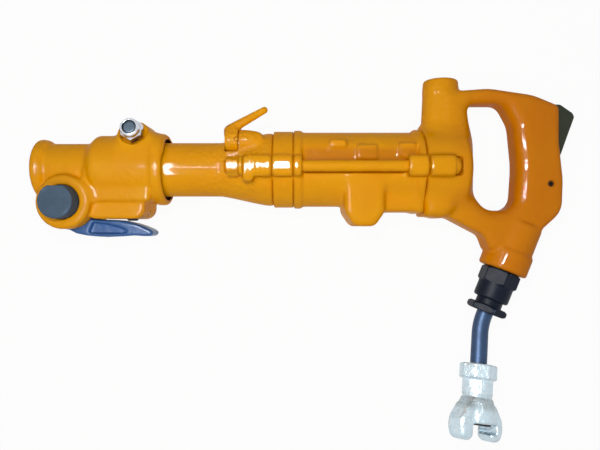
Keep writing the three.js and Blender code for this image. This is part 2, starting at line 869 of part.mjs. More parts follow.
function lugOutline(reach, side) {
  const [low, high] = [-lugHalfHeight, lugHalfHeight];
  return rounded([
    [low, side * lugInnerReach],
    [low, side * reach, lugCorner],
    [high, side * reach, lugCorner],
    [high, side * lugInnerReach],
  ]);
}

function lugs(fromX, toX, reach = lugReach) {
  return [-1, 1].map((side) => slab(lugOutline(reach, side), fromX, toX));
}

function rodBores(fromX, toX, radius = rodRadius + seatGap) {
  return [-rodOffset, rodOffset].map((z) => bar([fromX, 0, z], [toX, 0, z], radius, smallSides));
}

function barrelEars() {
  const rearX = ringFrontX - rodEarSetback;
  return [-1, 1].map((side) => {
    const outline = rounded([
      [lugHalfHeight, side * lugInnerReach],
      [-barrelEarDrop, side * lugInnerReach],
      [-barrelEarDrop, side * (lugReach - seatGap), lugCorner],
      [lugHalfHeight, side * (lugReach - seatGap), lugCorner],
    ]);
    return slab(outline, rearX - barrelEarLength, rearX);
  });
}

function blowHump() {
  const frontX = blowHubRearX + runningGap;
  const rearX = frontX + blowHumpLength;
  const steps = 6;
  const profile = [[frontX, 0]];
  for (let k = 0; k <= steps; k += 1) {
    const angle = (Math.PI / 2) * (k / steps);
    profile.push([frontX + blowHumpLength * Math.sin(angle), blowHumpRadius * Math.cos(angle) ** humpPower]);
  }
  profile[profile.length - 1] = [rearX, 0];
  const dome = transformed(turned(profile, smallSides), onAxis(0, blowAxisHeight, blowAxisSide));
  const saddle = transformed(
    turned(profile, smallSides),
    onAxis(0, blowAxisHeight * saddleShare, blowAxisSide * saddleShare),
  );
  return join(dome, saddle);
}
const humpPower = 0.6;
const saddleShare = 0.72;

// A shallow cradle under the lever's hub, open on top
function blowCradle() {
  return slab(
    circle(blowCradleRadius, smallSides, blowAxisHeight * saddleShare, blowAxisSide * saddleShare),
    blowHubFrontX, blowHubRearX + overrun,
  );
}

function barrel() {
  const flareX = barrelRearX - barrelFlareLength;
  const midRadius = barrelRadius + (barrelFlareRadius - barrelRadius) * flareRiseShare;
  const shell = turned([
    [barrelFrontX, 0],
    [barrelFrontX, barrelRadius - noseMouthChamfer],
    [barrelFrontX + noseMouthChamfer, barrelRadius],
    [flareX, barrelRadius],
    [flareX + barrelFlareLength * flareStartShare, midRadius],
    [barrelRearX - barrelCollarLength, barrelFlareRadius],
    [barrelRearX, barrelFlareRadius],
    [barrelRearX, 0],
  ], bigSides);
  const ears = barrelEars();
  const outer = join(
    shell, ...lugs(ringFrontX - rodEarSetback - seatGap, barrelRearX), ...ears, blowHump(), blowCradle(),
  );
  const bore = turned([
    [barrelFrontX - overrun, 0],
    [barrelFrontX - overrun, barrelFrontBoreRadius],
    [barrelStepX, barrelFrontBoreRadius],
    [barrelStepX + overrun, barrelRearBoreRadius],
    [barrelRearX + overrun, barrelRearBoreRadius],
    [barrelRearX + overrun, 0],
  ], bigSides);
  const hubRoom = transformed(
    drum(blowHubFrontX - runningGap, blowHubRearX + runningGap, blowHubRadius + runningGap, mediumSides),
    onAxis(0, blowAxisHeight, blowAxisSide),
  );
  const armRoom = block(
    blowHubFrontX - runningGap, blowHubRearX + runningGap, blowAxisHeight, blowAxisHeight * 2,
    -blowHubRadius, blowAxisSide + 2 * blowHubRadius,
  );
  const sideRoom = block(
    blowHubFrontX - runningGap, blowHubRearX + runningGap,
    blowAxisHeight - blowHubRadius, blowAxisHeight * 2, blowAxisSide, blowAxisSide + 2 * blowHubRadius,
  );
  const spindleBore = transformed(
    drum(blowHubFrontX - overrun, blowHubRearX + blowHumpLength * spindleDepthShare,
      blowSpindleRadius + runningGap, smallSides),
    onAxis(0, blowAxisHeight, blowAxisSide),
  );
  const collarRoom = transformed(
    drum(
      blowHubRearX, blowHubRearX + blowHumpLength * spindleCollarShare,
      blowSpindleCollar + runningGap, smallSides,
    ),
    onAxis(0, blowAxisHeight, blowAxisSide),
  );
  const clampGroove = bar(
    onClampBolt(-earHalfWidth * 2), onClampBolt(earHalfWidth * 2), clampBoltRadius + seatGap, smallSides,
  );
  const holes = [
    ...rodBores(headRearX, barrelRearX + overrun),
    ...rodBores(headRearX, rodEarFrontX, rodWasherRadius + 2 * seatGap),
  ];
  const body = cut(outer, bore, hubRoom, armRoom, sideRoom, spindleBore, collarRoom, clampGroove, ...holes);
  return piece('barrel', body, 'paint');
}
const flareStartShare = 0.55;
const flareRiseShare = 0.55;
const spindleDepthShare = 0.78;
const spindleCollarShare = 0.3;

// Blow valve

function blowLever() {
  const centre = [blowHubFrontX, blowAxisHeight, blowAxisSide];
  const slant = blowHubLength * hubSlantShare;
  const hub = transformed(turned([
    [blowHubFrontX, 0],
    [blowHubFrontX, blowHubRadius * hubNoseShare],
    [blowHubFrontX + slant, blowHubRadius],
    [blowHubRearX, blowHubRadius],
    [blowHubRearX, 0],
  ], mediumSides), onAxis(0, blowAxisHeight, blowAxisSide));
  const root = [centre[0] + blowArmRootRadius, blowAxisHeight + blowHubRadius * armRootShare, blowAxisSide];
  const tip = [root[0] + blowArmRun, root[1] + blowArmRise, blowAxisSide];
  const arm = bar(root, tip, blowArmRootRadius, armSides, blowArmTipRadius);
  const rootBall = ball(root, blowArmRootRadius, armSides);
  const tipBall = ball(tip, blowArmTipRadius, armSides);
  const bore = transformed(
    drum(blowHubFrontX - overrun, blowHubRearX + overrun, blowSpindleRadius + seatGap, smallSides),
    onAxis(0, blowAxisHeight, blowAxisSide),
  );
  const body = cut(join(hub, arm, rootBall, tipBall), bore, blowPinBar(blowPinRadius + seatGap, overrun));
  return piece('blow_valve_lever', body, 'paint');
}
const armSides = 12;
const hubSlantShare = 0.25;
const hubNoseShare = 0.86;
const armRootShare = 1;

function blowPinBar(radius, extra) {
  const x = (blowHubFrontX + blowHubRearX) / 2 + blowSpindleRadius;
  const reach = blowHubRadius * blowPinReachShare + extra;
  const [low, high] = [blowAxisSide - reach, blowAxisSide + reach];
  return bar([x, blowAxisHeight, low], [x, blowAxisHeight, high], radius, tinySides);
}
const blowPinReachShare = 0.9;

function blowPin() {
  return piece('blow_valve_cross_pin', blowPinBar(blowPinRadius, 0), 'machined');
}

function blowSpindle() {
  const endX = blowHubRearX + blowHumpLength * spindleDepthShare - runningGap;
  const collarStartX = blowHubRearX + runningGap;
  const collarEndX = blowHubRearX + blowHumpLength * spindleCollarShare - runningGap;
  const core = join(
    drum(blowHubFrontX + seatGap, endX, blowSpindleRadius, smallSides),
    drum(collarStartX, collarEndX, blowSpindleCollar, smallSides),
  );
  const [portX, portReach] = [endX - blowSpindleRadius, blowSpindleRadius * 2];
  const port = bar([portX, 0, -portReach], [portX, 0, portReach], blowPinRadius, tinySides);
  const placed = transformed(cut(core, port), onAxis(0, blowAxisHeight, blowAxisSide));
  return piece('blow_valve_spindle', cut(placed, blowPinBar(blowPinRadius + seatGap, overrun)), 'machined');
}

// Centre ring

function centreRing() {
  const outer = join(
    drum(ringFrontX, ringRearX, ringRadius, bigSides),
    ...lugs(ringFrontX, ringRearX),
  );
  const bore = drum(ringFrontX - overrun, ringRearX + overrun, ringBoreRadius, bigSides);
  const holes = rodBores(ringFrontX - overrun, ringRearX + overrun);
  return piece('centre_ring', cut(outer, bore, ...holes), 'paint');
}

function stemBushing() {
  const outer = ringBoreRadius - seatGap;
  const inner = stemRadius + runningGap;
  return piece('stem_bushing', ring(ringFrontX, ringRearX, outer, inner, mediumSides), 'bronze');
}

// Cylinder

function exhaustBoss() {
  const frontX = -exhaustFrontX;
  const rearX = frontX + exhaustLength;
  const half = (rearX - frontX) * exhaustToeShare;
  const outline = rounded([
    [frontX, 0],
    [frontX, -bellyDrop, exhaustCornerRadius],
    [frontX + half, -exhaustDrop, exhaustCornerRadius * 2 / 3],
    [rearX - half, -exhaustDrop, exhaustCornerRadius * 2 / 3],
    [rearX, -bellyDrop, exhaustCornerRadius],
    [rearX, 0],
  ]);
  return plate(outline, -exhaustHalfWidth, exhaustHalfWidth, castingBevel);
}
const exhaustToeShare = 0.25;

function channelPads() {
  const base = cylinderFlatReach - channelPadHeight;
  const top = cylinderFlatReach + channelPadHeight;
  return channelPadShares.flatMap(([startShare, endShare, lowShare, highShare]) => {
    const low = cylinderFlatTop * lowShare;
    const high = cylinderFlatTop * highShare;
    const from = cylinderFrontX + cylinderLength * startShare;
    const to = cylinderFrontX + cylinderLength * endShare;
    return [block(from, to, low, high, base, top), block(from, to, low, high, -top, -base)];
  });
}
const channelPadShares = [[0.28, 0.4, 0.98, 1.32], [0.47, 0.61, 0.42, 1.1], [0.79, 0.9, 0.55, 1.2]];

function cylinder() {
  const flangeEndX = cylinderFrontX + cylinderFlangeLength;
  const rearFlangeX = -cylinderRearFlangeLength;
  const shell = turned([
    [cylinderFrontX, 0],
    [cylinderFrontX, cylinderFlangeRadius],
    [flangeEndX, cylinderFlangeRadius],
    [flangeEndX, cylinderRadius],
    [rearFlangeX - castingBevel, cylinderRadius],
    [rearFlangeX, cylinderRearFlangeRadius],
    [0, cylinderRearFlangeRadius],
    [0, 0],
  ], bigSides);
  const channelRoom = [-1, 1].map((side) => block(
    flangeEndX, rearFlangeX, -rodRadius - seatGap * 2, cylinderFlatTop,
    Math.min(side * cylinderFlatReach, side * lugReach), Math.max(side * cylinderFlatReach, side * lugReach),
  ));
  const belly = plate(rounded([
    [-exhaustFrontX + exhaustLength, 0],
    [-exhaustFrontX + exhaustLength, -bellyDrop],
    [-cylinderRearLugLength / 2, -bellyDrop],
    [-seatGap, -bellyDrop - castingBevel],
    [-seatGap, 0],
  ]), -bellyHalfWidth, bellyHalfWidth, castingBevel);
  const rearLugs = lugs(-cylinderRearLugLength, 0);
  const frontLugs = lugs(cylinderFrontX, flangeEndX);
  const channelled = cut(join(shell, exhaustBoss(), belly), ...channelRoom);
  const outer = join(channelled, ...rearLugs, ...frontLugs, ...channelPads());
  const bore = drum(cylinderFrontX - overrun, overrun, cylinderBoreRadius, bigSides);
  const portX = -exhaustFrontX + exhaustLength / 2;
  const port = block(
    portX - exhaustPortLength / 2, portX + exhaustPortLength / 2, -exhaustDrop - overrun, 0,
    -exhaustPortWidth / 2, exhaustPortWidth / 2,
  );
  const holes = rodBores(cylinderFrontX - overrun, overrun);
  return piece('cylinder', cut(outer, bore, port, ...holes), 'paint');
}

// Side rods

function sideRods() {
  const startX = ringFrontX - rodFrontFromRing;
  const headX = handleFrontX + handleLugLength + seatGap;
  return [['near', 1], ['far', -1]].flatMap(([name, side]) => {
    const z = side * rodOffset;
    const shank = bar([startX, 0, z], [headX + seatGap, 0, z], rodRadius, smallSides);
    const head = bar(
      [headX, 0, z], [headX + rodHeadLength, 0, z], rodHeadRadius, smallSides, rodHeadRadius * nutTaperShare,
    );
    const nutRearX = rodEarFrontX - rodWasherLength - 2 * seatGap;
    const nut = bar(
      [nutRearX - rodNutLength, 0, z], [nutRearX, 0, z], cornerRadius(rodNutFlats, hexSides), hexSides,
      cornerRadius(rodNutFlats, hexSides), Math.PI / 2,
    );
    const hole = bar([startX - overrun, 0, z], [0, 0, z], rodRadius + seatGap, smallSides);
    const washerX = nutRearX + seatGap;
    const washer = bar([washerX, 0, z], [washerX + rodWasherLength, 0, z], rodWasherRadius, smallSides);
    return [
      piece(`side_rod_${name}`, join(shank, head), 'paint'),
      piece(`side_rod_nut_${name}`, cut(nut, hole), 'paint'),
      piece(`side_rod_washer_${name}`, cut(washer, hole), 'paint'),
    ];
  });
}

// Handle

function handlePoint([alongShare, upShare]) {
  return [handleLength * alongShare, towerHeight * upShare];
}

function roundedOnHandle(shares) {
  return rounded(shares.map(([along, up, roundShare = 0]) => [
    ...handlePoint([along, up]), handleLength * roundShare,
  ]));
}

function handleFrame() {
  return plate(roundedOnHandle(frameShares), -handleHalfWidth, handleHalfWidth, handleBevel);
}
const frameShares = [
  [0.0992, -0.5291], [0.1832, -0.5291, 0.137], [0.4427, -0.7414, 0.069], [0.4809, -0.9015],
  [0.7405, -0.9015], [0.8168, -0.7236, 0.107], [0.9924, -0.4745, 0.168], [1, -0.1186, 0.305],
  [0.9718, 0.2847, 0.305], [0.9718, 0.694, 0.046], [0.7863, 0.8126, 0.305], [0.4733, 0.8849, 0.382],
  [0.155, 0.8482], [0.155, 0.1068], [0.0992, 0.1068],
];

// The throttle tower, round in front and behind and flat on both sides
function tower() {
  const foot = towerCapRadius + towerDraft;
  const top = towerHeight - towerCapHeight;
  const column = bar([towerCentreX, 0, 0], [towerCentreX, top, 0], foot, bigSides, towerCapRadius);
  const sides = block(0, handleLength, 0, towerHeight, -handleHalfWidth, handleHalfWidth);
  return column.intersect(sides);
}

function openingOutline() {
  return roundedOnHandle(openingShares);
}
const openingShares = [
  [0.3305, 0.7165, 0.053], [0.5702, 0.7165, 0.084], [0.6489, 0.4911, 0.198], [0.6779, 0.0308, 0.458],
  [0.6565, -0.4531, 0.137], [0.4603, -0.4531, 0.126], [0.3656, -0.261, 0.099],
  [0.3656, 0.2918, 0.305],
];

// The grip opening, which rolls outwards to both faces
function openingCutter() {
  const outline = openingOutline();
  const steps = 3;
  const levels = [];
  const half = handleHalfWidth;
  const flat = half - openingRollDepth;
  for (let k = steps; k >= 0; k -= 1) {
    const angle = (Math.PI / 2) * (k / steps);
    levels.push([flat + openingRollDepth * Math.sin(angle), openingRollWidth * (1 - Math.cos(angle))]);
  }
  const above = [[half + overrun, openingRollWidth], ...levels];
  const below = [...above].reverse().map(([z, width]) => [-z, width]);
  const all = [...above, ...below];
  return loft(all.map(([, width]) => grown(outline, width)), all.map(([z]) => onAxis(0, 0, z)));
}

const inletMatrix = new THREE.Matrix4()
  .makeTranslation(inletFromJoint, -inletDrop, 0)
  .multiply(new THREE.Matrix4().makeRotationZ(-Math.PI / 2 - inletLean));

function inletBoss() {
  const boss = turned([
    [-inletBossLength, 0],
    [-inletBossLength, inletNeckRadius],
    [-inletCollarLength, inletNeckRadius],
    [-inletCollarLength, inletCollarRadius],
    [-noseMouthChamfer / 2, inletCollarRadius],
    [0, inletCollarRadius - noseMouthChamfer / 2],
    [0, 0],
  ], mediumSides);
  return transformed(boss, inletMatrix);
}

function backhead() {
  const domeSteps = 4;
  const profile = [[handleFrontX, 0], [handleFrontX, backheadRadius]];
  for (let k = 0; k <= domeSteps; k += 1) {
    const angle = (Math.PI / 2) * (k / domeSteps);
    profile.push([
      backheadLength + backheadDomeLength * Math.sin(angle) * domeShare,
      backheadRadius * (1 - (1 - Math.cos(angle)) * domeShare),
    ]);
  }
  profile.push([profile[profile.length - 1][0], 0]);
  return turned(profile, bigSides);
}
const domeShare = 0.5;

function triggerSlot() {
  const half = triggerHalfWidth + triggerSlotGap;
  const outline = triggerSlotShares.map(([along, up]) => handlePoint([along, up]));
  return plate(outline, -half, half);
}
const triggerSlotShares = [
  [0.8359, -0.2847], [0.9313, -0.2847], [1.0382, 0.1068], [1.0382, 0.8185], [0.8397, 0.8185],
  [0.813, 0.6643], [0.8282, 0.1068],
];

function throttleDrum(fromLength, toLength, radius, sides = smallSides) {
  const startX = handleLength - throttleChamberFromGripFace;
  return transformed(drum(startX + fromLength, startX + toLength, radius, sides), onAxis(0, throttleHeight));
}

function airPassages() {
  const startX = handleLength - throttleChamberFromGripFace;
  const supply = bar(
    [inletFromJoint, -inletDrop, 0],
    [startX + throttleSpringLength / 2, throttleHeight, 0], airPassageRadius, tinySides,
  );
  const topX = handleLength * airTopShares[0];
  const topY = towerHeight * airTopShares[1];
  const riseX = startX + throttleChamberLength * airRiseShare;
  const up = bar([riseX, throttleHeight, 0], [topX, topY, 0], airPassageRadius, tinySides);
  const cornerX = topX + airPassageRadius;
  const across = bar([cornerX, topY, 0], [towerCentreX, topY, 0], airPassageRadius, tinySides);
  return [supply, up, across];
}
const airTopShares = [0.69, 0.78];
const airRiseShare = 0.78;

function handle() {
  const opened = cut(join(handleFrame(), tower()), openingCutter());
  const cap = transformed(
    turned([
      [towerHeight - towerCapHeight * 2, 0],
      [towerHeight - towerCapHeight * 2, towerCapRadius],
      [towerHeight - noseMouthChamfer, towerCapRadius],
      [towerHeight, towerCapRadius - noseMouthChamfer],
      [towerHeight, 0],
    ], mediumSides),
    onAxis(towerCentreX).multiply(new THREE.Matrix4().makeRotationZ(Math.PI / 2)),
  );
  const skirt = plate(rounded([
    [handleFrontX, 0],
    [handleFrontX, -handleDrop],
    [backheadLength * skirtShare, -handleDrop],
    [backheadLength, 0],
  ]), -bellyHalfWidth, bellyHalfWidth, castingBevel);
  const outer = join(
    opened, backhead(), cap, skirt, inletBoss(), ...lugs(handleFrontX, handleFrontX + handleLugLength),
  );
  const reopened = cut(outer, openingCore());
  const cavity = drum(0, backheadCavityDepth, backheadCavityRadius, bigSides);
  const towerBore = bar(
    [towerCentreX, 0, 0], [towerCentreX, towerHeight + overrun, 0], towerBoreRadius, smallSides,
  );
  const inletEnd = -bushingShankLength - seatGap * 2 - strainerLength;
  const inletBore = transformed(drum(inletEnd, overrun, inletBoreRadius, mediumSides), inletMatrix);
  const plugSeat = bar(
    [towerCentreX, towerHeight - towerPlugDepth, 0], [towerCentreX, towerHeight + overrun, 0],
    towerPlugRadius + seatGap, smallSides,
  );
  const pinBore = bar(
    [triggerPivotX, triggerPivotY, -handleHalfWidth - overrun],
    [triggerPivotX, triggerPivotY, handleHalfWidth + overrun], triggerPinRadius + seatGap, tinySides,
  );
  const throttleBore = throttleDrum(0, throttleChamberLength + overrun, throttleBoreRadius);
  const stemLength = handleLength * triggerBackShare - handleLength + throttleChamberFromGripFace;
  const stemBore = throttleDrum(0, stemLength, throttleStemRadius + runningGap, tinySides);
  const holes = [
    ...rodBores(-overrun, handleFrontX + handleLugLength + overrun),
    ...rodBores(handleFrontX + handleLugLength, handleLength / 2, rodHeadRadius + 2 * seatGap),
  ];
  const body = cut(
    reopened, cavity, towerBore, plugSeat, inletBore, pinBore, triggerSlot(), throttleBore,
    stemBore, ...airPassages(), ...holes,
  );
  return piece('handle', body, 'paint');
}
const skirtShare = 0.72;
const towerPlugDepth = 5;
const towerPlugRadius = 10;

// Keeps the middle of the grip opening clear of the round backhead and boss
function openingCore() {
  const reach = lugReach;
  return plate(openingOutline(), -reach, reach);
}

function towerPlug() {
  const body = turned([
    [towerHeight - towerPlugDepth + seatGap, 0],
    [towerHeight - towerPlugDepth + seatGap, towerPlugRadius],
    [towerHeight - seatGap, towerPlugRadius],
    [towerHeight - seatGap, 0],
  ], smallSides);
  const place = onAxis(towerCentreX).multiply(new THREE.Matrix4().makeRotationZ(Math.PI / 2));
  return piece('tower_plug', transformed(body, place), 'paint');
}

// Trigger and throttle

function trigger() {
  const body = plate(roundedOnHandle(triggerShares), -triggerHalfWidth, triggerHalfWidth, triggerBevel, 1);
  const reach = triggerHalfWidth + overrun;
  const bore = bar(
    [triggerPivotX, triggerPivotY, -reach], [triggerPivotX, triggerPivotY, reach],
    triggerPinRadius + runningGap, smallSides,
  );
  return piece('trigger', cut(body, bore), 'trigger');
}
const triggerBevel = 1.2;
const triggerShares = [
  [0.8611, -0.2307, 0.031], [0.9146, -0.2307, 0.031], [0.9636, -0.0493, 0.107],
  [0.9862, 0.1145, 0.053], [1.0095, 0.1672, 0.053], [1.0562, 0.3719, 0.107], [1.1059, 0.5838, 0.023],
  [1.0923, 0.6294, 0.023], [1.005, 0.723, 0.021], [0.9485, 0.7289, 0.031], [0.9169, 0.5065, 0.107],
  [0.8604, 0.0969, 0.053],
];

function triggerPin() {
  const reach = handleHalfWidth - triggerPinHeadRadius / 2;
  const pin = bar(
    [triggerPivotX, triggerPivotY, -reach], [triggerPivotX, triggerPivotY, reach],
    triggerPinRadius, tinySides,
  );
  const dimple = bar(
    [triggerPivotX, triggerPivotY, reach - triggerPinRadius],
    [triggerPivotX, triggerPivotY, reach + overrun],
    triggerPinRadius / 2, tinySides,
  );
  return piece('trigger_pin', cut(pin, dimple), 'bronze');
}

function throttleValve() {
  const discStart = throttleSpringLength + seatGap;
  const startX = handleLength - throttleChamberFromGripFace;
  const stemEnd = handleLength * triggerBackShare - seatGap - startX;
  const body = join(
    throttleDrum(discStart, discStart + throttleDiscThickness, throttleDiscRadius),
    throttleDrum(discStart, stemEnd, throttleStemRadius, tinySides),
  );
  return piece('throttle_valve', body, 'machined');
}
const triggerBackShare = 0.86;

function throttleBushing() {
  const from = throttleChamberLength - throttleSeatLength;
  const to = throttleChamberLength;
  const body = throttleDrum(from, to, throttleBoreRadius - seatGap);
  const bore = throttleDrum(from - overrun, to + overrun, throttleStemRadius + runningGap, tinySides);
  const waist = throttleDrum(
    from - overrun, from + throttleSeatLength * waistShare, throttleDiscRadius * waistRadiusShare, smallSides,
  );
  const startX = handleLength - throttleChamberFromGripFace;
  const [windowLow, windowHigh] = windowShares.map((share) => startX + from + throttleSeatLength * share);
  const window = block(
    windowLow, windowHigh, throttleHeight, throttleHeight + throttleBoreRadius + overrun,
    -throttleStemRadius, throttleStemRadius,
  );
  return piece('throttle_bushing', cut(body, bore, waist, window), 'bronze');
}
const waistShare = 0.7;
const waistRadiusShare = 0.7;
const windowShares = [0.3, 0.62];

function throttleSpring() {
  const startX = handleLength - throttleChamberFromGripFace;
  const place = onAxis(startX + seatGap + throttleSpringWire / 2, throttleHeight);
  const length = throttleSpringLength - seatGap;
  const [radius, wire] = [throttleSpringRadius, throttleSpringWire];
  const spring = wound('throttle_spring', place, radius, wire, length, throttleSpringTurns);
  return piece('throttle_spring', spring, 'machined');
}

// Air inlet

function inletBushing() {
  const hex = transformed(
    bar([0, 0, 0], [bushingHexLength, 0, 0], cornerRadius(bushingFlats, hexSides), hexSides), onAxis(seatGap),
  );
  const round = turned([
    [bushingHexLength, 0],
    [bushingHexLength, bushingRoundRadius],
    [bushingLength - bushingChamfer, bushingRoundRadius],
    [bushingLength, bushingRoundRadius - bushingChamfer],
    [bushingLength, 0],
  ], mediumSides);
  const shank = drum(-bushingShankLength, seatGap * 2, inletBoreRadius - seatGap, mediumSides);
  const bore = turned([
    [-bushingShankLength - overrun, 0],
    [-bushingShankLength - overrun, strainerRadius + seatGap],
    [tubeSeatStart, strainerRadius + seatGap],
    [tubeSeatStart, bushingBoreRadius],
    [bushingLength - glandNeckLength, bushingBoreRadius],
    [bushingLength - glandNeckLength, glandNeckRadius + seatGap],
    [bushingLength + overrun, glandNeckRadius + seatGap],
    [bushingLength + overrun, 0],
  ], mediumSides);
  return piece('inlet_bushing', cut(join(hex, round, shank), bore), 'darkSteel');
}
const tubeSeatStart = 10;

function glandNut() {
  const startX = bushingLength + glandNeckLength;
  const hex = bar(
    [startX, 0, 0], [startX + glandThickness, 0, 0], cornerRadius(glandFlats, hexSides), hexSides,
  );
  const neckX = bushingLength - glandNeckLength + seatGap;
  const neck = drum(neckX, startX + seatGap, glandNeckRadius, mediumSides);
  const bore = drum(0, startX + glandThickness + overrun, tubeRadius + glandBoreGap, mediumSides);
  return piece('gland_nut', cut(join(hex, neck), bore), 'darkSteel');
}

function inletStrainer() {
  const startX = -bushingShankLength + seatGap;
  const outer = strainerRadius;
  const shell = ring(startX, startX + strainerLength, outer, outer - strainerWall, smallSides);
  const cap = drum(startX, startX + strainerWall, outer - strainerWall / 2, smallSides);
  const windows = Array.from({ length: strainerSlotCount }, (_, k) => {
    const slot = block(
      startX + strainerWall * 2, startX + strainerLength * strainerSlotShare, 0, outer * 2,
      -strainerWall, strainerWall,
    );
    return transformed(slot, new THREE.Matrix4().makeRotationX((2 * Math.PI * k) / strainerSlotCount));
  });
  return piece('inlet_strainer', cut(join(shell, cap), ...windows), 'bronze');
}
const strainerSlotCount = 6;
const strainerSlotShare = 0.7;

// Swivel tube, which turns in the bushing, and the coupling on its end

const bendStartX = bushingLength + glandNeckLength + glandThickness + tubeStraightOut;
const bendEnd = new THREE.Vector2(
  bendStartX + tubeBendRadius * Math.sin(tubeBend), tubeBendRadius * (1 - Math.cos(tubeBend)),
);
const tubeWay = new THREE.Vector2(Math.cos(tubeBend), Math.sin(tubeBend));

class TubePath extends THREE.Curve {
  constructor(startX, endReach) {
    super();
    const arc = tubeBendRadius * tubeBend;
    Object.assign(this, { startX, first: bendStartX - startX, arc, last: endReach });
  }

  getPoint(t, target = new THREE.Vector3()) {
    const run = t * (this.first + this.arc + this.last);
    if (run <= this.first) return target.set(this.startX + run, 0, 0);
    const turn = Math.min((run - this.first) / tubeBendRadius, tubeBend);
    const rest = Math.max(run - this.first - this.arc, 0);
    const x = bendStartX + tubeBendRadius * Math.sin(turn) + rest * tubeWay.x;
    return target.set(x, tubeBendRadius * (1 - Math.cos(turn)) + rest * tubeWay.y, 0);
  }
}
const tubeSteps = 10;
const tubeStartX = tubeSeatStart + seatGap + tubeSealLength + seatGap;

function swivelTube() {
  const endReach = tubeStraightIn + tubeInsert;
  const outer = pipe(new TubePath(tubeStartX, endReach), tubeRadius, smallSides, tubeSteps);
  const airWay = new TubePath(tubeStartX - overrun, endReach + overrun);
  const inner = pipe(airWay, tubeBoreRadius, smallSides, tubeSteps);
  const collar = drum(tubeStartX, tubeStartX + tubeCollarLength, tubeCollarRadius, mediumSides);
  return piece('swivel_tube', cut(join(outer, collar), inner), 'darkSteel');
}

function swivelSeal() {
  const start = tubeSeatStart + seatGap;
  const body = ring(start, start + tubeSealLength, bushingBoreRadius - seatGap, tubeBoreRadius, mediumSides);
  return piece('swivel_seal', body, 'rubber');
}

function claw(side) {
  const outline = rounded([
    [-couplingHeadLength, couplingBodyRadius * clawRootShare],
    [-couplingHeadLength / 3, clawReach, clawLipLength],
    [clawForward, clawReach, clawLipLength],
    [clawForward, couplingHeadRadius - clawLipDepth, clawLipLength / 2],
    [clawForward - clawLipLength, couplingHeadRadius - clawLipDepth],
    [clawForward - clawLipLength, couplingHeadRadius + seatGap],
    [seatGap, couplingHeadRadius + seatGap],
    [-couplingHeadLength / 4, couplingHeadRadius / 2],
  ]);
  const turn = clawAngle + (side < 0 ? Math.PI : 0);
  const body = plate(outline, -clawHalfWidth, clawHalfWidth, clawBevel, 1);
  return transformed(body, new THREE.Matrix4().makeRotationX(turn));
}
const clawRootShare = 0.7;

// The coupling's face is at x zero of its own frame, and the tube enters from below zero
function couplingBody() {
  const bodyStart = -couplingHeadLength - couplingBodyLength;
  const octagon = bar(
    [bodyStart - couplingHexLength, 0, 0], [bodyStart + seatGap, 0, 0],
    cornerRadius(couplingFlats, octagonSides), octagonSides,
    cornerRadius(couplingFlats, octagonSides), Math.PI / octagonSides,
  );
  const shell = turned([
    [bodyStart, 0],
    [bodyStart, couplingBodyRadius],
    [-couplingHeadLength - couplingGrooveLength, couplingBodyRadius],
    [-couplingHeadLength - couplingGrooveLength / 2, couplingBodyRadius - couplingGrooveDepth],
    [-couplingHeadLength, couplingBodyRadius],
    [-couplingHeadLength / 2, couplingHeadRadius],
    [0, couplingHeadRadius],
    [0, 0],
  ], mediumSides);
  const whole = join(octagon, shell, claw(1), claw(-1));
  const bore = turned([
    [bodyStart - couplingHexLength - overrun, 0],
    [bodyStart - couplingHexLength - overrun, tubeRadius + seatGap],
    [bodyStart - couplingHexLength + tubeInsert + seatGap, tubeRadius + seatGap],
    [bodyStart - couplingHexLength + tubeInsert + seatGap, couplingBoreRadius],
    [-gasketSeatDepth, couplingBoreRadius],
    [-gasketSeatDepth, gasketOuterRadius + seatGap],
    [overrun, gasketOuterRadius + seatGap],
    [overrun, 0],
  ], mediumSides);
  return piece('coupling_body', cut(whole, bore), 'zinc');
}

function couplingGasket() {
  const start = -gasketSeatDepth + seatGap;
  const body = ring(start, gasketProud, gasketOuterRadius, gasketInnerRadius, mediumSides);
  return piece('coupling_gasket', body, 'rubber');
}

function swivelGroup() {
  const coupling = new THREE.Group();
  const reach = tubeStraightIn + couplingHexLength + couplingBodyLength + couplingHeadLength;
  coupling.position.set(bendEnd.x + tubeWay.x * reach, bendEnd.y + tubeWay.y * reach, 0);
  coupling.rotation.z = tubeBend;
  coupling.add(couplingBody(), couplingGasket());
  const swivel = new THREE.Group();
  swivel.rotation.x = swivelTurn;
  swivel.add(swivelTube(), swivelSeal(), coupling);
  return swivel;
}

function inletGroup() {
  const inlet = new THREE.Group();
  inlet.applyMatrix4(inletMatrix);
  inlet.add(inletBushing(), glandNut(), inletStrainer(), swivelGroup());
  return inlet;
}

// Chuck

function chuckSleeve() {
  const inner = chuckSleeveRadius - chuckSleeveWall;
  const rearX = driverFrontX - seatGap;
  return piece('chuck_sleeve', ring(chuckFrontX, rearX, chuckSleeveRadius, inner, bigSides), 'machined');
}

function chuckBushing() {
  const outer = chuckSleeveRadius - chuckSleeveWall - seatGap;
  const body = drum(chuckFrontX, chuckFrontX + shankLength, outer, mediumSides);
  const hex = bar(
    [chuckFrontX - overrun, 0, 0], [chuckFrontX + shankLength + overrun, 0, 0],
    cornerRadius(shankFlats, hexSides), hexSides,
  );
  return piece('chuck_bushing', cut(body, hex), 'machined');
}

function splineOutline(outer, root, count, phase = 0) {
  const points = [];
  for (let k = 0; k < count; k += 1) {
    splineStepShares.forEach(([angleShare, high]) => {
      const angle = phase + (2 * Math.PI * (k + angleShare)) / count;
      const radius = high ? outer : root;
      points.push(new THREE.Vector2(radius * Math.cos(angle), radius * Math.sin(angle)));
    });
  }
  return points;
}
const splineStepShares = [[0, true], [0.42, true], [0.5, false], [0.92, false]];

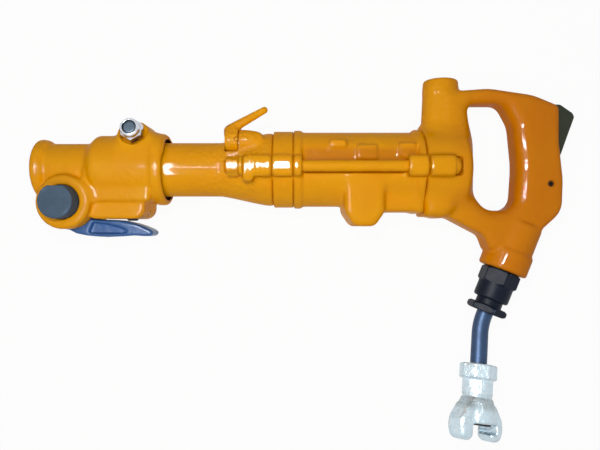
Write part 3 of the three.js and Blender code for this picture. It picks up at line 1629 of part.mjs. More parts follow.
// Splines along X, turning by one full turn in each lead, or straight if there is no lead
function splinedBar(fromX, toX, outer, root, count, lead = 0) {
  const steps = lead ? Math.ceil((toX - fromX) / rifleStep) : 1;
  const outline = splineOutline(outer, root, count);
  const places = [];
  for (let i = 0; i <= steps; i += 1) {
    const x = fromX + ((toX - fromX) * i) / steps;
    const turn = lead ? (2 * Math.PI * x) / lead : 0;
    const upright = new THREE.Matrix4().makeRotationY(Math.PI / 2);
    places.push(onAxis(x).multiply(new THREE.Matrix4().makeRotationX(turn)).multiply(upright));
  }
  return loft(places.map(() => outline), places);
}
const rifleStep = 16;

function chuckDriver() {
  const body = drum(driverFrontX, driverRearX, driverRadius, bigSides);
  const nutStartX = driverRearX - driverNutLength;
  const front = drum(driverFrontX - overrun, nutStartX, stemRadius + runningGap * 2, mediumSides);
  const splines = splinedBar(
    nutStartX - overrun, driverRearX + overrun, stemRadius + stemSplineGap,
    stemRadius - stemSplineDepth + stemSplineGap, stemSplineCount,
  );
  return piece('chuck_driver', cut(body, front, splines), 'bronze');
}

// Piston

const pistonRearX = pistonHeadLength + pistonStroke + pistonFrontRoom - cylinderLength;
const pistonFrontX = pistonRearX - pistonHeadLength;
const stemTipX = driverRearX - driverNutLength;

function piston() {
  const head = drum(pistonFrontX, pistonRearX, cylinderBoreRadius - pistonHeadGap, bigSides);
  const splineEndX = stemTipX + stemSplineLength;
  const plainRadius = stemRadius - stemSplineDepth - stemSplineGap;
  const plain = drum(splineEndX, pistonFrontX + seatGap, plainRadius, mediumSides);
  const splines = splinedBar(
    stemTipX, splineEndX + overrun, stemRadius - stemSplineGap / 2, plainRadius, stemSplineCount,
  );
  const bore = turned([
    [pistonRearX + overrun, 0],
    [pistonRearX + overrun, rifleNutRadius + seatGap],
    [pistonRearX - rifleNutLength - seatGap, rifleNutRadius + seatGap],
    [pistonRearX - rifleNutLength - seatGap, pistonBoreRadius],
    [stemTipX + pistonBoreEnd + stemSplineLength / 2, pistonBoreRadius],
    [stemTipX + pistonBoreEnd + stemSplineLength / 2, 0],
  ], mediumSides);
  return piece('piston', cut(join(head, plain, splines), bore), 'machined');
}

function rifleNut() {
  const [from, to] = [pistonRearX - rifleNutLength, pistonRearX];
  const body = drum(from, to, rifleNutRadius, mediumSides);
  const hole = splinedBar(
    from - overrun, to + overrun, rifleRadius + rifleGap, rifleRootRadius + rifleGap,
    rifleSplineCount, rifleLead,
  );
  return piece('rifle_nut', cut(body, hole), 'bronze');
}

const rifleFrontX = pistonRearX - rifleLength;
const ratchetFrontX = seatGap;
const ratchetRearX = ratchetFrontX + rifleHeadLength + seatGap;
const valveRearX = -seatGap;
const valveChestFrontX = valveRearX - valveChestLength;
const valvePlateRearX = valveChestFrontX - valvePlateTravel - seatGap;
const valvePlateFrontX = valvePlateRearX - valvePlateLength;
const valveCoverRearX = valvePlateFrontX - seatGap;
const valveCoverFrontX = valveCoverRearX - valveCoverLength;

// A point on a spoke about the drill axis
function spoke(x, radius, angle) {
  return [x, radius * Math.cos(angle), radius * Math.sin(angle)];
}

function pawlRoom(k, gap) {
  const turn = (2 * Math.PI * k) / pawlCount;
  const half = pawlWidth / 2 + gap;
  const room = block(
    ratchetFrontX - (gap ? overrun : -seatGap), ratchetRearX + (gap ? overrun : -seatGap * 2),
    pawlInnerRadius - gap, gap ? rifleHeadRadius + overrun : ratchetTipRadius - runningGap * 2, -half, half,
  );
  return transformed(room, new THREE.Matrix4().makeRotationX(turn));
}

function rifleBar() {
  const splines = splinedBar(
    rifleFrontX, valveCoverFrontX - overrun, rifleRadius, rifleRootRadius, rifleSplineCount, rifleLead,
  );
  const shank = drum(valveCoverFrontX - overrun * 2, ratchetFrontX + overrun, rifleShankRadius, smallSides);
  const head = drum(ratchetFrontX + seatGap, ratchetFrontX + rifleHeadLength, rifleHeadRadius, mediumSides);
  const journal = drum(
    ratchetFrontX + rifleHeadLength - seatGap, ratchetRearX + bearingPlateLength,
    rifleJournalRadius, smallSides,
  );
  const rooms = Array.from({ length: pawlCount }, (_, k) => pawlRoom(k, seatGap));
  return piece('rifle_bar', cut(join(splines, shank, head, journal), ...rooms), 'machined');
}

function pawls() {
  return Array.from({ length: pawlCount }, (_, k) => piece(`pawl_${k + 1}`, pawlRoom(k, 0), 'machined'));
}

function ratchetRing() {
  const body = drum(ratchetFrontX, ratchetRearX, ratchetOuterRadius, bigSides);
  const teeth = splinedBar(
    ratchetFrontX - overrun, ratchetRearX + overrun, ratchetRootRadius, ratchetTipRadius, ratchetToothCount,
  );
  return piece('ratchet_ring', cut(body, teeth), 'machined');
}

function bearingPlate() {
  const start = ratchetRearX + seatGap;
  const outer = backheadCavityRadius - seatGap;
  const inner = rifleJournalRadius + runningGap;
  const body = ring(start, start + bearingPlateLength, outer, inner, mediumSides);
  return piece('rear_bearing_plate', body, 'bronze');
}

// Valve

function valvePorts(fromX, toX, orbit) {
  return Array.from({ length: valvePortCount }, (_, k) => {
    const angle = (2 * Math.PI * (k + 1 / 2)) / valvePortCount;
    return bar(spoke(fromX, orbit, angle), spoke(toX, orbit, angle), valvePortRadius, tinySides);
  });
}

function valveParts() {
  const hole = rifleShankRadius + runningGap;
  const seat = (valvePlateRadius + valvePlateBoreRadius) / 2;
  const chest = ring(valveChestFrontX, valveRearX, valveOuterRadius, hole, mediumSides);
  const cover = ring(valveCoverFrontX, valveCoverRearX, valveOuterRadius, hole, mediumSides);
  const rim = ring(
    valveCoverRearX - seatGap, valveChestFrontX - seatGap, valveOuterRadius,
    valvePlateRadius + runningGap, mediumSides,
  );
  const plateRing = ring(
    valvePlateFrontX, valvePlateRearX, valvePlateRadius, valvePlateBoreRadius, mediumSides,
  );
  const chestPorts = valvePorts(valveChestFrontX - overrun, valveRearX + overrun, seat);
  const coverPorts = valvePorts(valveCoverFrontX - overrun, valveCoverRearX + overrun, seat);
  return [
    piece('valve_chest', cut(chest, ...chestPorts), 'machined'),
    piece('valve_cover', cut(join(cover, rim), ...coverPorts), 'machined'),
    piece('valve_plate', plateRing, 'machined'),
  ];
}

// The whole drill, set down with its lowest points at z zero and the middle of its box on the Z axis
const pieces = new THREE.Group();
pieces.add(
  frontHead(), latchPin(), latchLever(), latchKey(), latchPlunger(), plungerPin(), plungerSpring(),
  clampBolt(), clampNut(), barrel(), blowLever(), blowPin(), blowSpindle(), centreRing(), stemBushing(),
  cylinder(), ...sideRods(), handle(), towerPlug(), trigger(), triggerPin(), throttleValve(),
  throttleBushing(), throttleSpring(), inletGroup(), chuckSleeve(), chuckBushing(), chuckDriver(),
  piston(), rifleNut(), rifleBar(), ...pawls(), ratchetRing(), bearingPlate(), ...valveParts(),
);
pieces.updateMatrixWorld(true);
const extent = new THREE.Box3().setFromObject(pieces, true);
pieces.position.set(-(extent.min.x + extent.max.x) / 2, -(extent.min.y + extent.max.y) / 2, -extent.min.z);

const drill = new THREE.Group();
drill.add(pieces);
export default drill;
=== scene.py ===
# %% [markdown]
# # Dressing a pneumatic rock drill
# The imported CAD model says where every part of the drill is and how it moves.
# This lesson gives that frame its skin: soft castings under glossy orange enamel,
# blackened steel, plated nuts and a rough zinc coupling.
# Everything is in metres, in the CAD's own place, so no piece needs fitting afterwards.

# %% Load the frame
import bpy
import json
import math
import numpy as np
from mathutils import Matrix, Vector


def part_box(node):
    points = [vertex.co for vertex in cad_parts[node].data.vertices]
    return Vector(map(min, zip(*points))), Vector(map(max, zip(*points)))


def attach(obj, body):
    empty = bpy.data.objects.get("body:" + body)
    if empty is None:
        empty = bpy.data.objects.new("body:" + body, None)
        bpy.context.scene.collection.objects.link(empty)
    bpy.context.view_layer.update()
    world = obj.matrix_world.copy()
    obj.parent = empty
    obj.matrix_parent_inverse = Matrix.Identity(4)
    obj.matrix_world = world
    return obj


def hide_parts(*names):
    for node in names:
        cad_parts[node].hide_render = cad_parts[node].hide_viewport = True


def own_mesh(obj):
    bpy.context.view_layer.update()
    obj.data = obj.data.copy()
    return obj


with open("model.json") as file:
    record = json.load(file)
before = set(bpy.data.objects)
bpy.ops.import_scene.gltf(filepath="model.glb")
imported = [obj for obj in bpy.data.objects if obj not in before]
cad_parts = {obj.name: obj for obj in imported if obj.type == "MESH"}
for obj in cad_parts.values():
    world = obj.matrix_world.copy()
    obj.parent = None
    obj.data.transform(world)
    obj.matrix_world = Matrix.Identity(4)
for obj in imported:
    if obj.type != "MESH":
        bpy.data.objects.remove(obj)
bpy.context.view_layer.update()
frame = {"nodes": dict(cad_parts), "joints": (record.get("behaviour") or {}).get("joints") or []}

import openvdb
from mathutils import Matrix, Vector

# %% [markdown]
# The castings were drawn from two places: the drill's axis, about which the chuck spins,
# and the joint between cylinder and handle. Measured from there in millimetres, a size
# reads as it would in the workshop. `drill` is the matrix that brings such a point home.
# The air inlet leans away from the handle and the coupling hangs on a bent tube, so both
# get a matrix of their own, with x along their axis.

# %% Where the drill's own measurements start
joint_named = {joint["name"]: joint for joint in frame["joints"]}
axis_place = joint_named["chuck_spin"]["pos_m"]
joint_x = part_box("cylinder")[1].x
millimetres = Matrix.Diagonal((0.001, 0.001, 0.001, 1.0))


def turned_by(degrees, axis):
    return Matrix.Rotation(math.radians(degrees), 4, axis)


def moved(x, y=0.0, z=0.0):
    return Matrix.Translation((x, y, z))


drill = moved(joint_x, axis_place[1], axis_place[2]) @ millimetres
print("drill axis at", [round(v * 1000, 2) for v in drill.translation], "mm")

# %% Air inlet, bent tube and coupling
inlet_x, inlet_drop, inlet_lean, swivel_turn = 78.7, 95.3, 21.6, 50
inlet = drill @ moved(inlet_x, -inlet_drop) @ turned_by(-90 - inlet_lean, "Z")
tube = inlet @ turned_by(swivel_turn, "X")
bend_start, bend_radius, bend_angle = 45.6, 52.0, 20.5
bend = math.radians(bend_angle)
after_bend, fitting_hexagon, fitting_neck, fitting_head = 28, 13, 18, 21
coupling_reach = after_bend + fitting_hexagon + fitting_neck + fitting_head
coupling = tube @ moved(
    bend_start + bend_radius * math.sin(bend) + math.cos(bend) * coupling_reach,
    bend_radius * (1 - math.cos(bend)) + math.sin(bend) * coupling_reach,
) @ turned_by(bend_angle, "Z")
print("coupling face at", [round(v * 1000, 2) for v in coupling.translation], "mm")

# %% Stations along the drill axis, and fits
seat_gap, running_gap, overrun = 0.3, 0.35, 2
cylinder_front = -119
ring_rear = cylinder_front - seat_gap
ring_front = ring_rear - 18
barrel_rear = ring_front - seat_gap
head_rear = barrel_rear - 100
barrel_front = head_rear - 60
nose = head_rear - 120
print("the nose is", round(-nose, 1), "mm ahead of the handle joint")

# %% [markdown]
# ## Camera
# The photograph looks straight down on the drill as it lies on the table. A camera in
# Blender that isn't turned looks down with the top of the picture towards +Y, so it only
# needs its place and its lens. The lens comes from the photo's perspective: 547 pixels
# of picture for each metre across at one metre away, over 600 pixels of a 36 mm sensor.

# %% Camera
pixels_per_metre, photo_width, sensor_width = 547, 600, 36.0
camera_data = bpy.data.cameras.new("camera")
camera_data.sensor_width = sensor_width
camera_data.lens = pixels_per_metre / photo_width * sensor_width
camera = bpy.data.objects.new("camera", camera_data)
photo_middle, camera_height = (-113.0, -52.3), 520.0
camera.location = drill @ Vector((*photo_middle, camera_height))
bpy.context.scene.collection.objects.link(camera)
bpy.context.scene.camera = camera
bpy.context.scene.view_settings.view_transform = "Standard"
print("camera at", [round(v, 3) for v in camera.location], "lens", round(camera_data.lens, 2))

# %% [markdown]
# ## Shader arithmetic
# A material is a graph of nodes, and maths in it soon becomes a thicket. Wrapping one
# socket in a small class lets Python's own operators add the Math nodes, so a mask reads
# as `rust * 0.5 + dust`. Colours go through Mix nodes instead, because a Math node would
# turn them grey. All other nodes come from one method, `node`.

# %% The wire class and the graph it belongs to
class Wire:
    """One socket of a graph, with Python's operators for its Math nodes."""

    def __init__(self, graph, socket):
        self.graph, self.socket = graph, socket

    def maths(self, operation, *values):
        return self.graph.node("ShaderNodeMath", {"operation": operation}, dict(enumerate(values)))

    def __add__(self, other):
        return self.maths("ADD", self, other)

    def __mul__(self, other):
        return self.maths("MULTIPLY", self, other)

    def __sub__(self, other):
        return self.maths("SUBTRACT", self, other)

    def __rsub__(self, other):
        return self.maths("SUBTRACT", other, self)

    __radd__ = __add__
    __rmul__ = __mul__


class Graph:
    """A node tree, to which every node is added by one method."""

    def __init__(self, tree):
        self.tree = tree

    def node(self, kind, settings=None, inputs=None, output=0):
        made = self.tree.nodes.new(kind)
        for key, value in (settings or {}).items():
            if key == "stops":
                self.set_stops(made.color_ramp, value)
            else:
                setattr(made, key, value)
        for key, value in (inputs or {}).items():
            if isinstance(value, Wire):
                self.tree.links.new(value.socket, made.inputs[key])
            else:
                made.inputs[key].default_value = value
        return Wire(self, made.outputs[output] if made.outputs else None)

    def set_stops(self, ramp, stops):
        while len(ramp.elements) < len(stops):
            ramp.elements.new(1.0)
        for element, (position, grey) in zip(ramp.elements, stops):
            element.position, element.color = position, (grey, grey, grey, 1.0)


print("operators of a wire:", [name for name in dir(Wire) if name.endswith(("add__", "mul__", "sub__"))])

# %% The finish class
class Finish(Graph):
    """A material under construction: one Principled shader and what feeds it."""

    def __init__(self, name, slot=None, **constants):
        self.slot = slot
        self.material = bpy.data.materials.new(name)
        self.material.use_nodes = True
        super().__init__(self.material.node_tree)
        self.shader = self.tree.nodes["Principled BSDF"]
        for socket_name, value in constants.items():
            self.shader.inputs[socket_name.replace("_", " ")].default_value = value
        self.place = self.node("ShaderNodeTexCoord", output="Object")

    def noise(self, size_mm, detail=3.0, roughness=0.5, seed=0.0):
        """Soft random spots of about the size given, between 0 and 1."""
        where = self.node("ShaderNodeMapping", {}, {"Vector": self.place, "Location": (seed, seed, seed)})
        return self.node("ShaderNodeTexNoise", {}, {
            "Vector": where, "Scale": 1000.0 / size_mm, "Detail": detail, "Roughness": roughness})

    def ramp(self, value, *stops):
        return self.node("ShaderNodeValToRGB", {"stops": stops}, {"Fac": value})

    def mix(self, amount, first, second):
        """A colour between two others, by an amount from 0 to 1."""
        settings = {"data_type": "RGBA"}
        return self.node("ShaderNodeMix", settings, {0: amount, 6: first, 7: second}, output=2)

    def near(self, value, middle, full, none):
        """1 where a value is within `full` of `middle`, fading to 0 at a distance `none`."""
        return self.node("ShaderNodeMapRange", {"interpolation_type": "SMOOTHSTEP"}, {
            "Value": value.maths("ABSOLUTE", value - middle), "From Min": none, "From Max": full})

    def vector(self, operation, first, second=None, output=0):
        """One step of vector arithmetic, such as a difference or a length."""
        inputs = {0: first} if second is None else {0: first, 1: second}
        return self.node("ShaderNodeVectorMath", {"operation": operation}, inputs, output)

    def feed(self, **wires):
        for socket_name, wire in wires.items():
            self.tree.links.new(wire.socket, self.shader.inputs[socket_name.replace("_", " ")])

    def bump(self, *layers):
        """Feeds the normal from height layers, each a wire and how deep it goes in millimetres."""
        height = sum(wire * depth for wire, depth in layers)
        self.feed(Normal=self.node("ShaderNodeBump", {}, {
            "Height": height, "Strength": 1.0, "Distance": 0.001}))


def colour(red, green, blue):
    """A colour as a picture gives it, 0 to 255, turned into the linear light Blender wants."""
    steps = [value / 255 for value in (red, green, blue)]
    linear = [v / 12.92 if v < 0.04045 else ((v + 0.055) / 1.055) ** 2.4 for v in steps]
    return (*linear, 1.0)


print("orange in linear light:", [round(v, 3) for v in colour(226, 155, 0)])

# %% [markdown]
# ## Orange enamel
# The castings wear one thick coat of glossy orange-yellow enamel straight over the sand
# cast iron, so three things show through it: the slow waves of the casting, a finer
# orange peel, and small dimples of sand. A painter would see a base colour and thinner,
# lighter paint along edges; the hollows are coloured darker as painted shade. Blender's
# Pointiness knows edges from hollows on a dense mesh, and a clear coat gives the small hard highlights.

# %% Masks for the enamel
enamel = Finish("orange_enamel", "paint", Coat_Roughness=0.06, Coat_IOR=1.42, Specular_IOR_Level=0.02)
turned_away = enamel.node("ShaderNodeLayerWeight", {}, {"Blend": 0.5}, output="Facing")
enamel.feed(Coat_Weight=enamel.ramp(turned_away, (0.2, 0.24), (0.7, 0.03)))
cloudy = enamel.noise(38, detail=4)
fine = enamel.noise(4.5, detail=3, seed=3.1)
edges = enamel.node("ShaderNodeNewGeometry", output="Pointiness")
hollow = enamel.ramp(edges, (0.40, 1.0), (0.49, 0.0))
rim = enamel.ramp(edges, (0.53, 0.0), (0.62, 1.0))
from_axis = enamel.vector("SUBTRACT", enamel.place, drill.translation)
ahead, upward, sideways = (
    enamel.node("ShaderNodeSeparateXYZ", {}, {0: from_axis}, output=axis) for axis in "XYZ")
print("places are measured from", [round(v, 3) for v in drill.translation])

# %% Colours of the enamel
# Painted light and shade: the front castings are coloured lighter and yellower, the handle end darker and
# redder.
lit_front_colour = enamel.mix(cloudy, colour(224, 142, 0), colour(236, 168, 1))
shaded_handle_colour = enamel.mix(cloudy, colour(206, 114, 0), colour(220, 136, 1))
grip_x = 0.14
body_colour = enamel.mix(enamel.near(ahead, grip_x, 0.06, 0.15), lit_front_colour, shaded_handle_colour)
# Painted shade: the flat floor of the side-rod channel is coloured darker, as if in the rod's shadow.
rod_middle_x, channel_y, channel_floor = -0.059, 0.007, 0.0306
beside_rod = (
    enamel.near(ahead, rod_middle_x, 0.046, 0.054) * enamel.near(upward, channel_y, 0.006, 0.014)
    * enamel.near(sideways.maths("ABSOLUTE", sideways), channel_floor, 0.0016, 0.0026))
shaded = enamel.mix(beside_rod * 0.75, body_colour, colour(190, 112, 0))
# Painted shade: hollows and creases are coloured darker.
hollow_shaded = enamel.mix(hollow * (0.5 + fine * 0.5), shaded, colour(120, 56, 2))
worn = enamel.mix(rim * (fine * 0.4), hollow_shaded, colour(238, 170, 22))
print("enamel nodes so far:", len(enamel.tree.nodes))

# %% Painted shade in the oiled gap between head and barrel
flat = enamel.vector("MULTIPLY", from_axis, (0, 1, 1))
radius = enamel.vector("LENGTH", flat, output="Value")
gap_inside, gap_outside, gap_forward, gap_half_length = 0.02546, 0.02905, 0.2676, 0.0314
gap = (radius.maths("GREATER_THAN", radius, gap_inside) * radius.maths("LESS_THAN", radius, gap_outside)
       * radius.maths("LESS_THAN", radius.maths("ABSOLUTE", ahead + gap_forward), gap_half_length))
# Painted shade: the bore faces in this deep gap are coloured near black, over bare oiled metal.
gap_oil_and_shade = enamel.mix(gap, worn, colour(48, 27, 8))
enamel.feed(Base_Color=gap_oil_and_shade, Roughness=0.34 + cloudy * 0.12)
print("the oily gap is", round((gap_outside - gap_inside) * 1000, 1), "mm wide")

# %% The skin of the casting under the enamel
nuts_x = -0.178
waves = enamel.noise(11, detail=1.0, seed=7.7)
sandy_end = enamel.near(ahead, nuts_x, 0.02, 0.04)
sandy_spots = enamel.ramp(enamel.noise(26, detail=1, seed=8.8), (0.40, 0.05), (0.66, 0.35))
rough_sand = sandy_spots + sandy_end * 0.8
lumps = enamel.noise(4.2, detail=2, seed=4.6)
peel = enamel.noise(1.9, detail=1.0, seed=1.3)
enamel.bump((waves, 0.7), (lumps * rough_sand, 1.9), (peel, 0.06))
print("enamel nodes:", len(enamel.tree.nodes))

# %% [markdown]
# ## A foundry of distances
# Castings are hard for polygon modelling: everything runs into everything else in soft
# fillets. A signed distance field makes that easy. A block of space is divided into small
# cells, and each cell holds its distance to the metal, negative inside. Joining two
# shapes is then a minimum, cutting is a maximum, and a smoothed minimum leaves the fillet
# that a pattern maker would have left. OpenVDB, which comes with Blender, turns the
# finished block into a mesh.

# %% Smooth minimum
def softly(first, second, blend):
    """The smaller of two distances, with a fillet about as wide as `blend` where they meet."""
    if blend <= 0:
        return np.minimum(first, second)
    share = np.clip(0.5 + 0.5 * (second - first) / blend, 0, 1)
    return second + (first - second) * share - blend * share * (1 - share)


print("a blend of 4 mm fills a corner by", -softly(0.0, 0.0, 4.0), "mm")

# %% Meshes and pieces
def plain_mesh(name, points, faces):
    mesh = bpy.data.meshes.new(name)
    mesh.from_pydata(np.asarray(points).tolist(), [], faces)
    mesh.update()
    return mesh


def place(mesh, body, finish, stands_for):
    """Shows a mesh and tells the frame its body, its finish and the CAD nodes it stands for."""
    mesh.shade_smooth()
    if not mesh.materials:
        mesh.materials.append(finish.material)
    made = bpy.data.objects.new(mesh.name, mesh)
    bpy.context.scene.collection.objects.link(made)
    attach(made, body)
    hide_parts(*stands_for)
    mesh.calc_loop_triangles()
    print(f"{made.name}: {len(mesh.loop_triangles)} triangles")
    return made


print("CAD nodes that a piece can stand for:", len(frame["nodes"]))

# %% The block of cells
far_away = 9.0


class Block:
    """Space around a casting in cells, in millimetres of the frame given by `home`."""

    def __init__(self, low, high, cell, home=drill):
        self.cell, self.home = cell, home
        self.start = np.floor(np.array(low) / cell).astype(int) - 4
        self.count = np.ceil(np.array(high) / cell).astype(int) + 5 - self.start
        self.distance = np.full(self.count, far_away, np.float32)

    def room(self, shape, margin):
        """The part of the block near a shape, as slices, and the places of its cells."""
        low = np.floor((np.array(shape.low) - margin) / self.cell).astype(int) - self.start
        high = np.ceil((np.array(shape.high) + margin) / self.cell).astype(int) - self.start
        low, high = np.clip(low, 0, self.count), np.clip(high, 0, self.count)
        slices = tuple(slice(a, b) for a, b in zip(low, high))
        places = [(np.arange(a, b, dtype=np.float32) + s) * self.cell
                  for a, b, s in zip(low, high, self.start)]
        return slices, np.meshgrid(*places, indexing="ij", sparse=True)

    def add(self, *shapes, blend=0.0):
        for shape in shapes:
            slices, places = self.room(shape, 7.0)
            self.distance[slices] = softly(self.distance[slices], shape.field(*places), blend)
        return self

    def cut(self, *shapes, blend=0.0):
        for shape in shapes:
            slices, places = self.room(shape, 3.0 + blend)
            self.distance[slices] = -softly(-self.distance[slices], shape.field(*places), blend)
        return self

    def sand(self, width):
        """Rounds every edge a little, as tumbling and thick paint do: a blur of the distances."""
        steps = np.arange(-3, 4) * self.cell
        weights = np.exp(-0.5 * (steps / width) ** 2)
        weights = (weights / weights.sum()).astype(np.float32)
        for axis in range(3):
            padded = np.pad(self.distance, [(3, 3) if i == axis else (0, 0) for i in range(3)], "edge")
            size = self.distance.shape[axis]
            self.distance = sum(
                weight * np.take(padded, range(k, k + size), axis) for k, weight in enumerate(weights))
        return self

    def surface(self):
        """The skin of the metal, as points in millimetres and four-sided faces."""
        grid = openvdb.FloatGrid(far_away)
        grid.copyFromArray(np.clip(self.distance, -far_away, far_away).astype(np.float32))
        points, quads = grid.convertToQuads(isovalue=0.0)
        return (points + self.start) * self.cell, quads[:, ::-1].tolist()

    def cast(self, name, body, finish, stands_for):
        """Turns the block into a smooth mesh that rides on a body and stands for its CAD nodes."""
        mesh = plain_mesh(name, *self.surface())
        mesh.transform(self.home)
        place(mesh, body, finish, stands_for)


print("a 10 mm cube in 1 mm cells takes", Block((0, 0, 0), (10, 10, 10), 1.0).distance.size, "of them")

# %% [markdown]
# ## Shapes to cast with
# Each shape below is a distance and a box that holds it: a bar that may taper, one with
# round ends, a brick, a body turned on a lathe, and a plate cut from an outline. Outlines
# get true arcs at their corners, and `roll` rounds a plate's rims like a worn pattern.

# %% Bars, balls and bricks
class Shape:
    """A distance function with the lowest and highest corner of what it surrounds."""

    def __init__(self, field, low, high):
        self.field, self.low, self.high = field, low, high


def corner_distance(a, b, roll=0.0):
    """Distance to a square corner from two side distances, rounded by `roll`."""
    a, b = a + roll, b + roll
    outside = np.sqrt(np.maximum(a, 0) ** 2 + np.maximum(b, 0) ** 2)
    return outside + np.minimum(np.maximum(a, b), 0) - roll


def bar(start, end, radius, end_radius=None, roll=0.0):
    """A round bar between two points, with flat ends."""
    start, end = np.array(start, float), np.array(end, float)
    end_radius = radius if end_radius is None else end_radius
    length = np.linalg.norm(end - start)
    way = (end - start) / length
    slope = (end_radius - radius) / length

    def field(x, y, z):
        along = (x - start[0]) * way[0] + (y - start[1]) * way[1] + (z - start[2]) * way[2]
        square = (x - start[0]) ** 2 + (y - start[1]) ** 2 + (z - start[2]) ** 2 - along ** 2
        side = (np.sqrt(np.maximum(square, 0)) - radius - slope * along) / math.hypot(1, slope)
        return corner_distance(side, np.abs(along - length / 2) - length / 2, roll)

    reach = max(radius, end_radius)
    return Shape(field, np.minimum(start, end) - reach, np.maximum(start, end) + reach)


def sausage(start, end, radius, end_radius=None):
    """A bar with round ends."""
    start, end = np.array(start, float), np.array(end, float)
    end_radius = radius if end_radius is None else end_radius
    step = end - start

    def field(x, y, z):
        share = ((x - start[0]) * step[0] + (y - start[1]) * step[1] + (z - start[2]) * step[2])
        share = np.clip(share / (step @ step), 0, 1)
        away = [p - start[i] - share * step[i] for i, p in enumerate((x, y, z))]
        return np.sqrt(sum(a * a for a in away)) - radius - (end_radius - radius) * share

    reach = max(radius, end_radius)
    return Shape(field, np.minimum(start, end) - reach, np.maximum(start, end) + reach)


def brick(low, high, roll=0.0):
    """A box with rounded edges."""
    low, high = np.array(low, float), np.array(high, float)
    middle, half = (low + high) / 2, (high - low) / 2

    def field(x, y, z):
        sides = [np.abs(p - m) - h + roll for p, m, h in zip((x, y, z), middle, half)]
        outside = np.sqrt(sum(np.maximum(s, 0) ** 2 for s in sides))
        return outside + np.minimum(np.maximum(np.maximum(*sides[:2]), sides[2]), 0) - roll

    return Shape(field, low, high)


print("6 mm off the axis of a 5 mm bar the distance is", bar((0, 0, 0), (9, 0, 0), 5).field(4.0, 6.0, 0.0))

# %% Outlines
def rounded(corners, step=math.radians(6)):
    """An outline from corners given as x, y and corner radius, with true arcs."""
    points = []
    for i, (x, y, *rest) in enumerate(corners):
        corner, radius = np.array((x, y), float), rest[0] if rest else 0.0
        back = np.array(corners[i - 1][:2], float) - corner
        ahead = np.array(corners[(i + 1) % len(corners)][:2], float) - corner
        room = min(np.linalg.norm(back), np.linalg.norm(ahead)) / 2 * 0.96
        back, ahead = back / np.linalg.norm(back), ahead / np.linalg.norm(ahead)
        inside = math.acos(max(-1, min(1, float(back @ ahead))))
        if radius == 0 or math.pi - inside < 0.02:
            points.append(corner)
            continue
        reach = min(radius / math.tan(inside / 2), room)
        radius = reach * math.tan(inside / 2)
        centre = corner + (back + ahead) / np.linalg.norm(back + ahead) * radius / math.sin(inside / 2)
        spoke = corner + back * reach - centre
        sweep = (math.pi - inside) * -np.sign(back[0] * ahead[1] - back[1] * ahead[0])
        for angle in np.linspace(0, sweep, max(2, int(abs(sweep) / step) + 1)):
            c, s = math.cos(angle), math.sin(angle)
            points.append(centre + (c * spoke[0] - s * spoke[1], s * spoke[0] + c * spoke[1]))
    return np.array(points)


def outline_distance(outline, across, up):
    """Distance from cells of a flat grid to an outline, negative inside it."""
    nearest, crossings = np.full(np.broadcast(across, up).shape, 1e9), 0
    for a, b in zip(outline, np.roll(outline, -1, 0)):
        step = b - a
        if step @ step < 1e-9:
            continue
        share = np.clip(((across - a[0]) * step[0] + (up - a[1]) * step[1]) / (step @ step), 0, 1)
        gap_x, gap_y = across - a[0] - share * step[0], up - a[1] - share * step[1]
        nearest = np.minimum(nearest, gap_x ** 2 + gap_y ** 2)
        if a[1] != b[1]:
            meets = ((a[1] > up) != (b[1] > up)) & (across < a[0] + (up - a[1]) / step[1] * step[0])
            crossings = crossings + meets
    return np.where(crossings % 2 == 1, -1, 1) * np.sqrt(nearest)


print("a square with round corners has", len(rounded([(0, 0, 2), (9, 0, 2), (9, 9, 2), (0, 9, 2)])), "points")

# %% Plates and turned bodies
def plate(outline, low, high, roll=0.0, along="z"):
    """An outline drawn out along z (given in x, y) or along x (given in y, z)."""
    middle, half = (low + high) / 2, (high - low) / 2
    least, most = outline.min(0), outline.max(0)

    def field(x, y, z):
        if along == "z":
            return corner_distance(outline_distance(outline, x, y), np.abs(z - middle) - half, roll)
        return corner_distance(outline_distance(outline, y, z), np.abs(x - middle) - half, roll)

    if along == "z":
        return Shape(field, (*least, low), (*most, high))
    return Shape(field, (low, *least), (high, *most))


def turned(profile, y=0.0, z=0.0):
    """A body of revolution about an axis along x, from stations and radii."""
    outline = np.array(profile, float)
    if outline[0][1] > 0:
        outline = np.vstack([(outline[0][0], 0.0), outline])
    if outline[-1][1] > 0:
        outline = np.vstack([outline, (outline[-1][0], 0.0)])
    mirrored = np.vstack([outline, (outline * (1, -1))[::-1]])
    widest = outline[:, 1].max()
    table_step = 0.5

    def field(x, cell_y, cell_z):
        radii = np.sqrt((cell_y - y) ** 2 + (cell_z - z) ** 2)
        steps = np.arange(0, radii.max() + 1, table_step)
        table = outline_distance(mirrored, x.reshape(-1, 1), steps.reshape(1, -1))
        below = np.minimum((radii / table_step).astype(int), len(steps) - 2)[0]
        share = radii[0] / table_step - below
        return (table[:, below] * (1 - share) + table[:, below + 1] * share).astype(np.float32)

    low, high = outline[:, 0].min(), outline[:, 0].max()
    return Shape(field, (low, y - widest, z - widest), (high, y + widest, z + widest))


def common(first, second):
    """What two shapes share."""
    return Shape(lambda x, y, z: np.maximum(first.field(x, y, z), second.field(x, y, z)),
                 np.maximum(first.low, second.low), np.minimum(first.high, second.high))


def quarter(count):
    """Angles over a quarter turn, for profiles that roll over."""
    return np.linspace(0, math.pi / 2, count)


def eased(share):
    """A rise from 0 to 1 that starts and ends level."""
    return 3 * share ** 2 - 2 * share ** 3


print("half way an eased rise has reached", eased(0.5), "and at a quarter", eased(0.25))

# %% [markdown]
# ## Front head
# The front head slides over the barrel and holds the drill steel. It is one casting: a
# bell-mouthed nose, a round boss for the latch pin, a square housing for the plunger, and
# a split ear that the clamp bolt draws together. The outside is cast first and sanded,
# and the bores are cut afterwards, so they keep their machined edges.

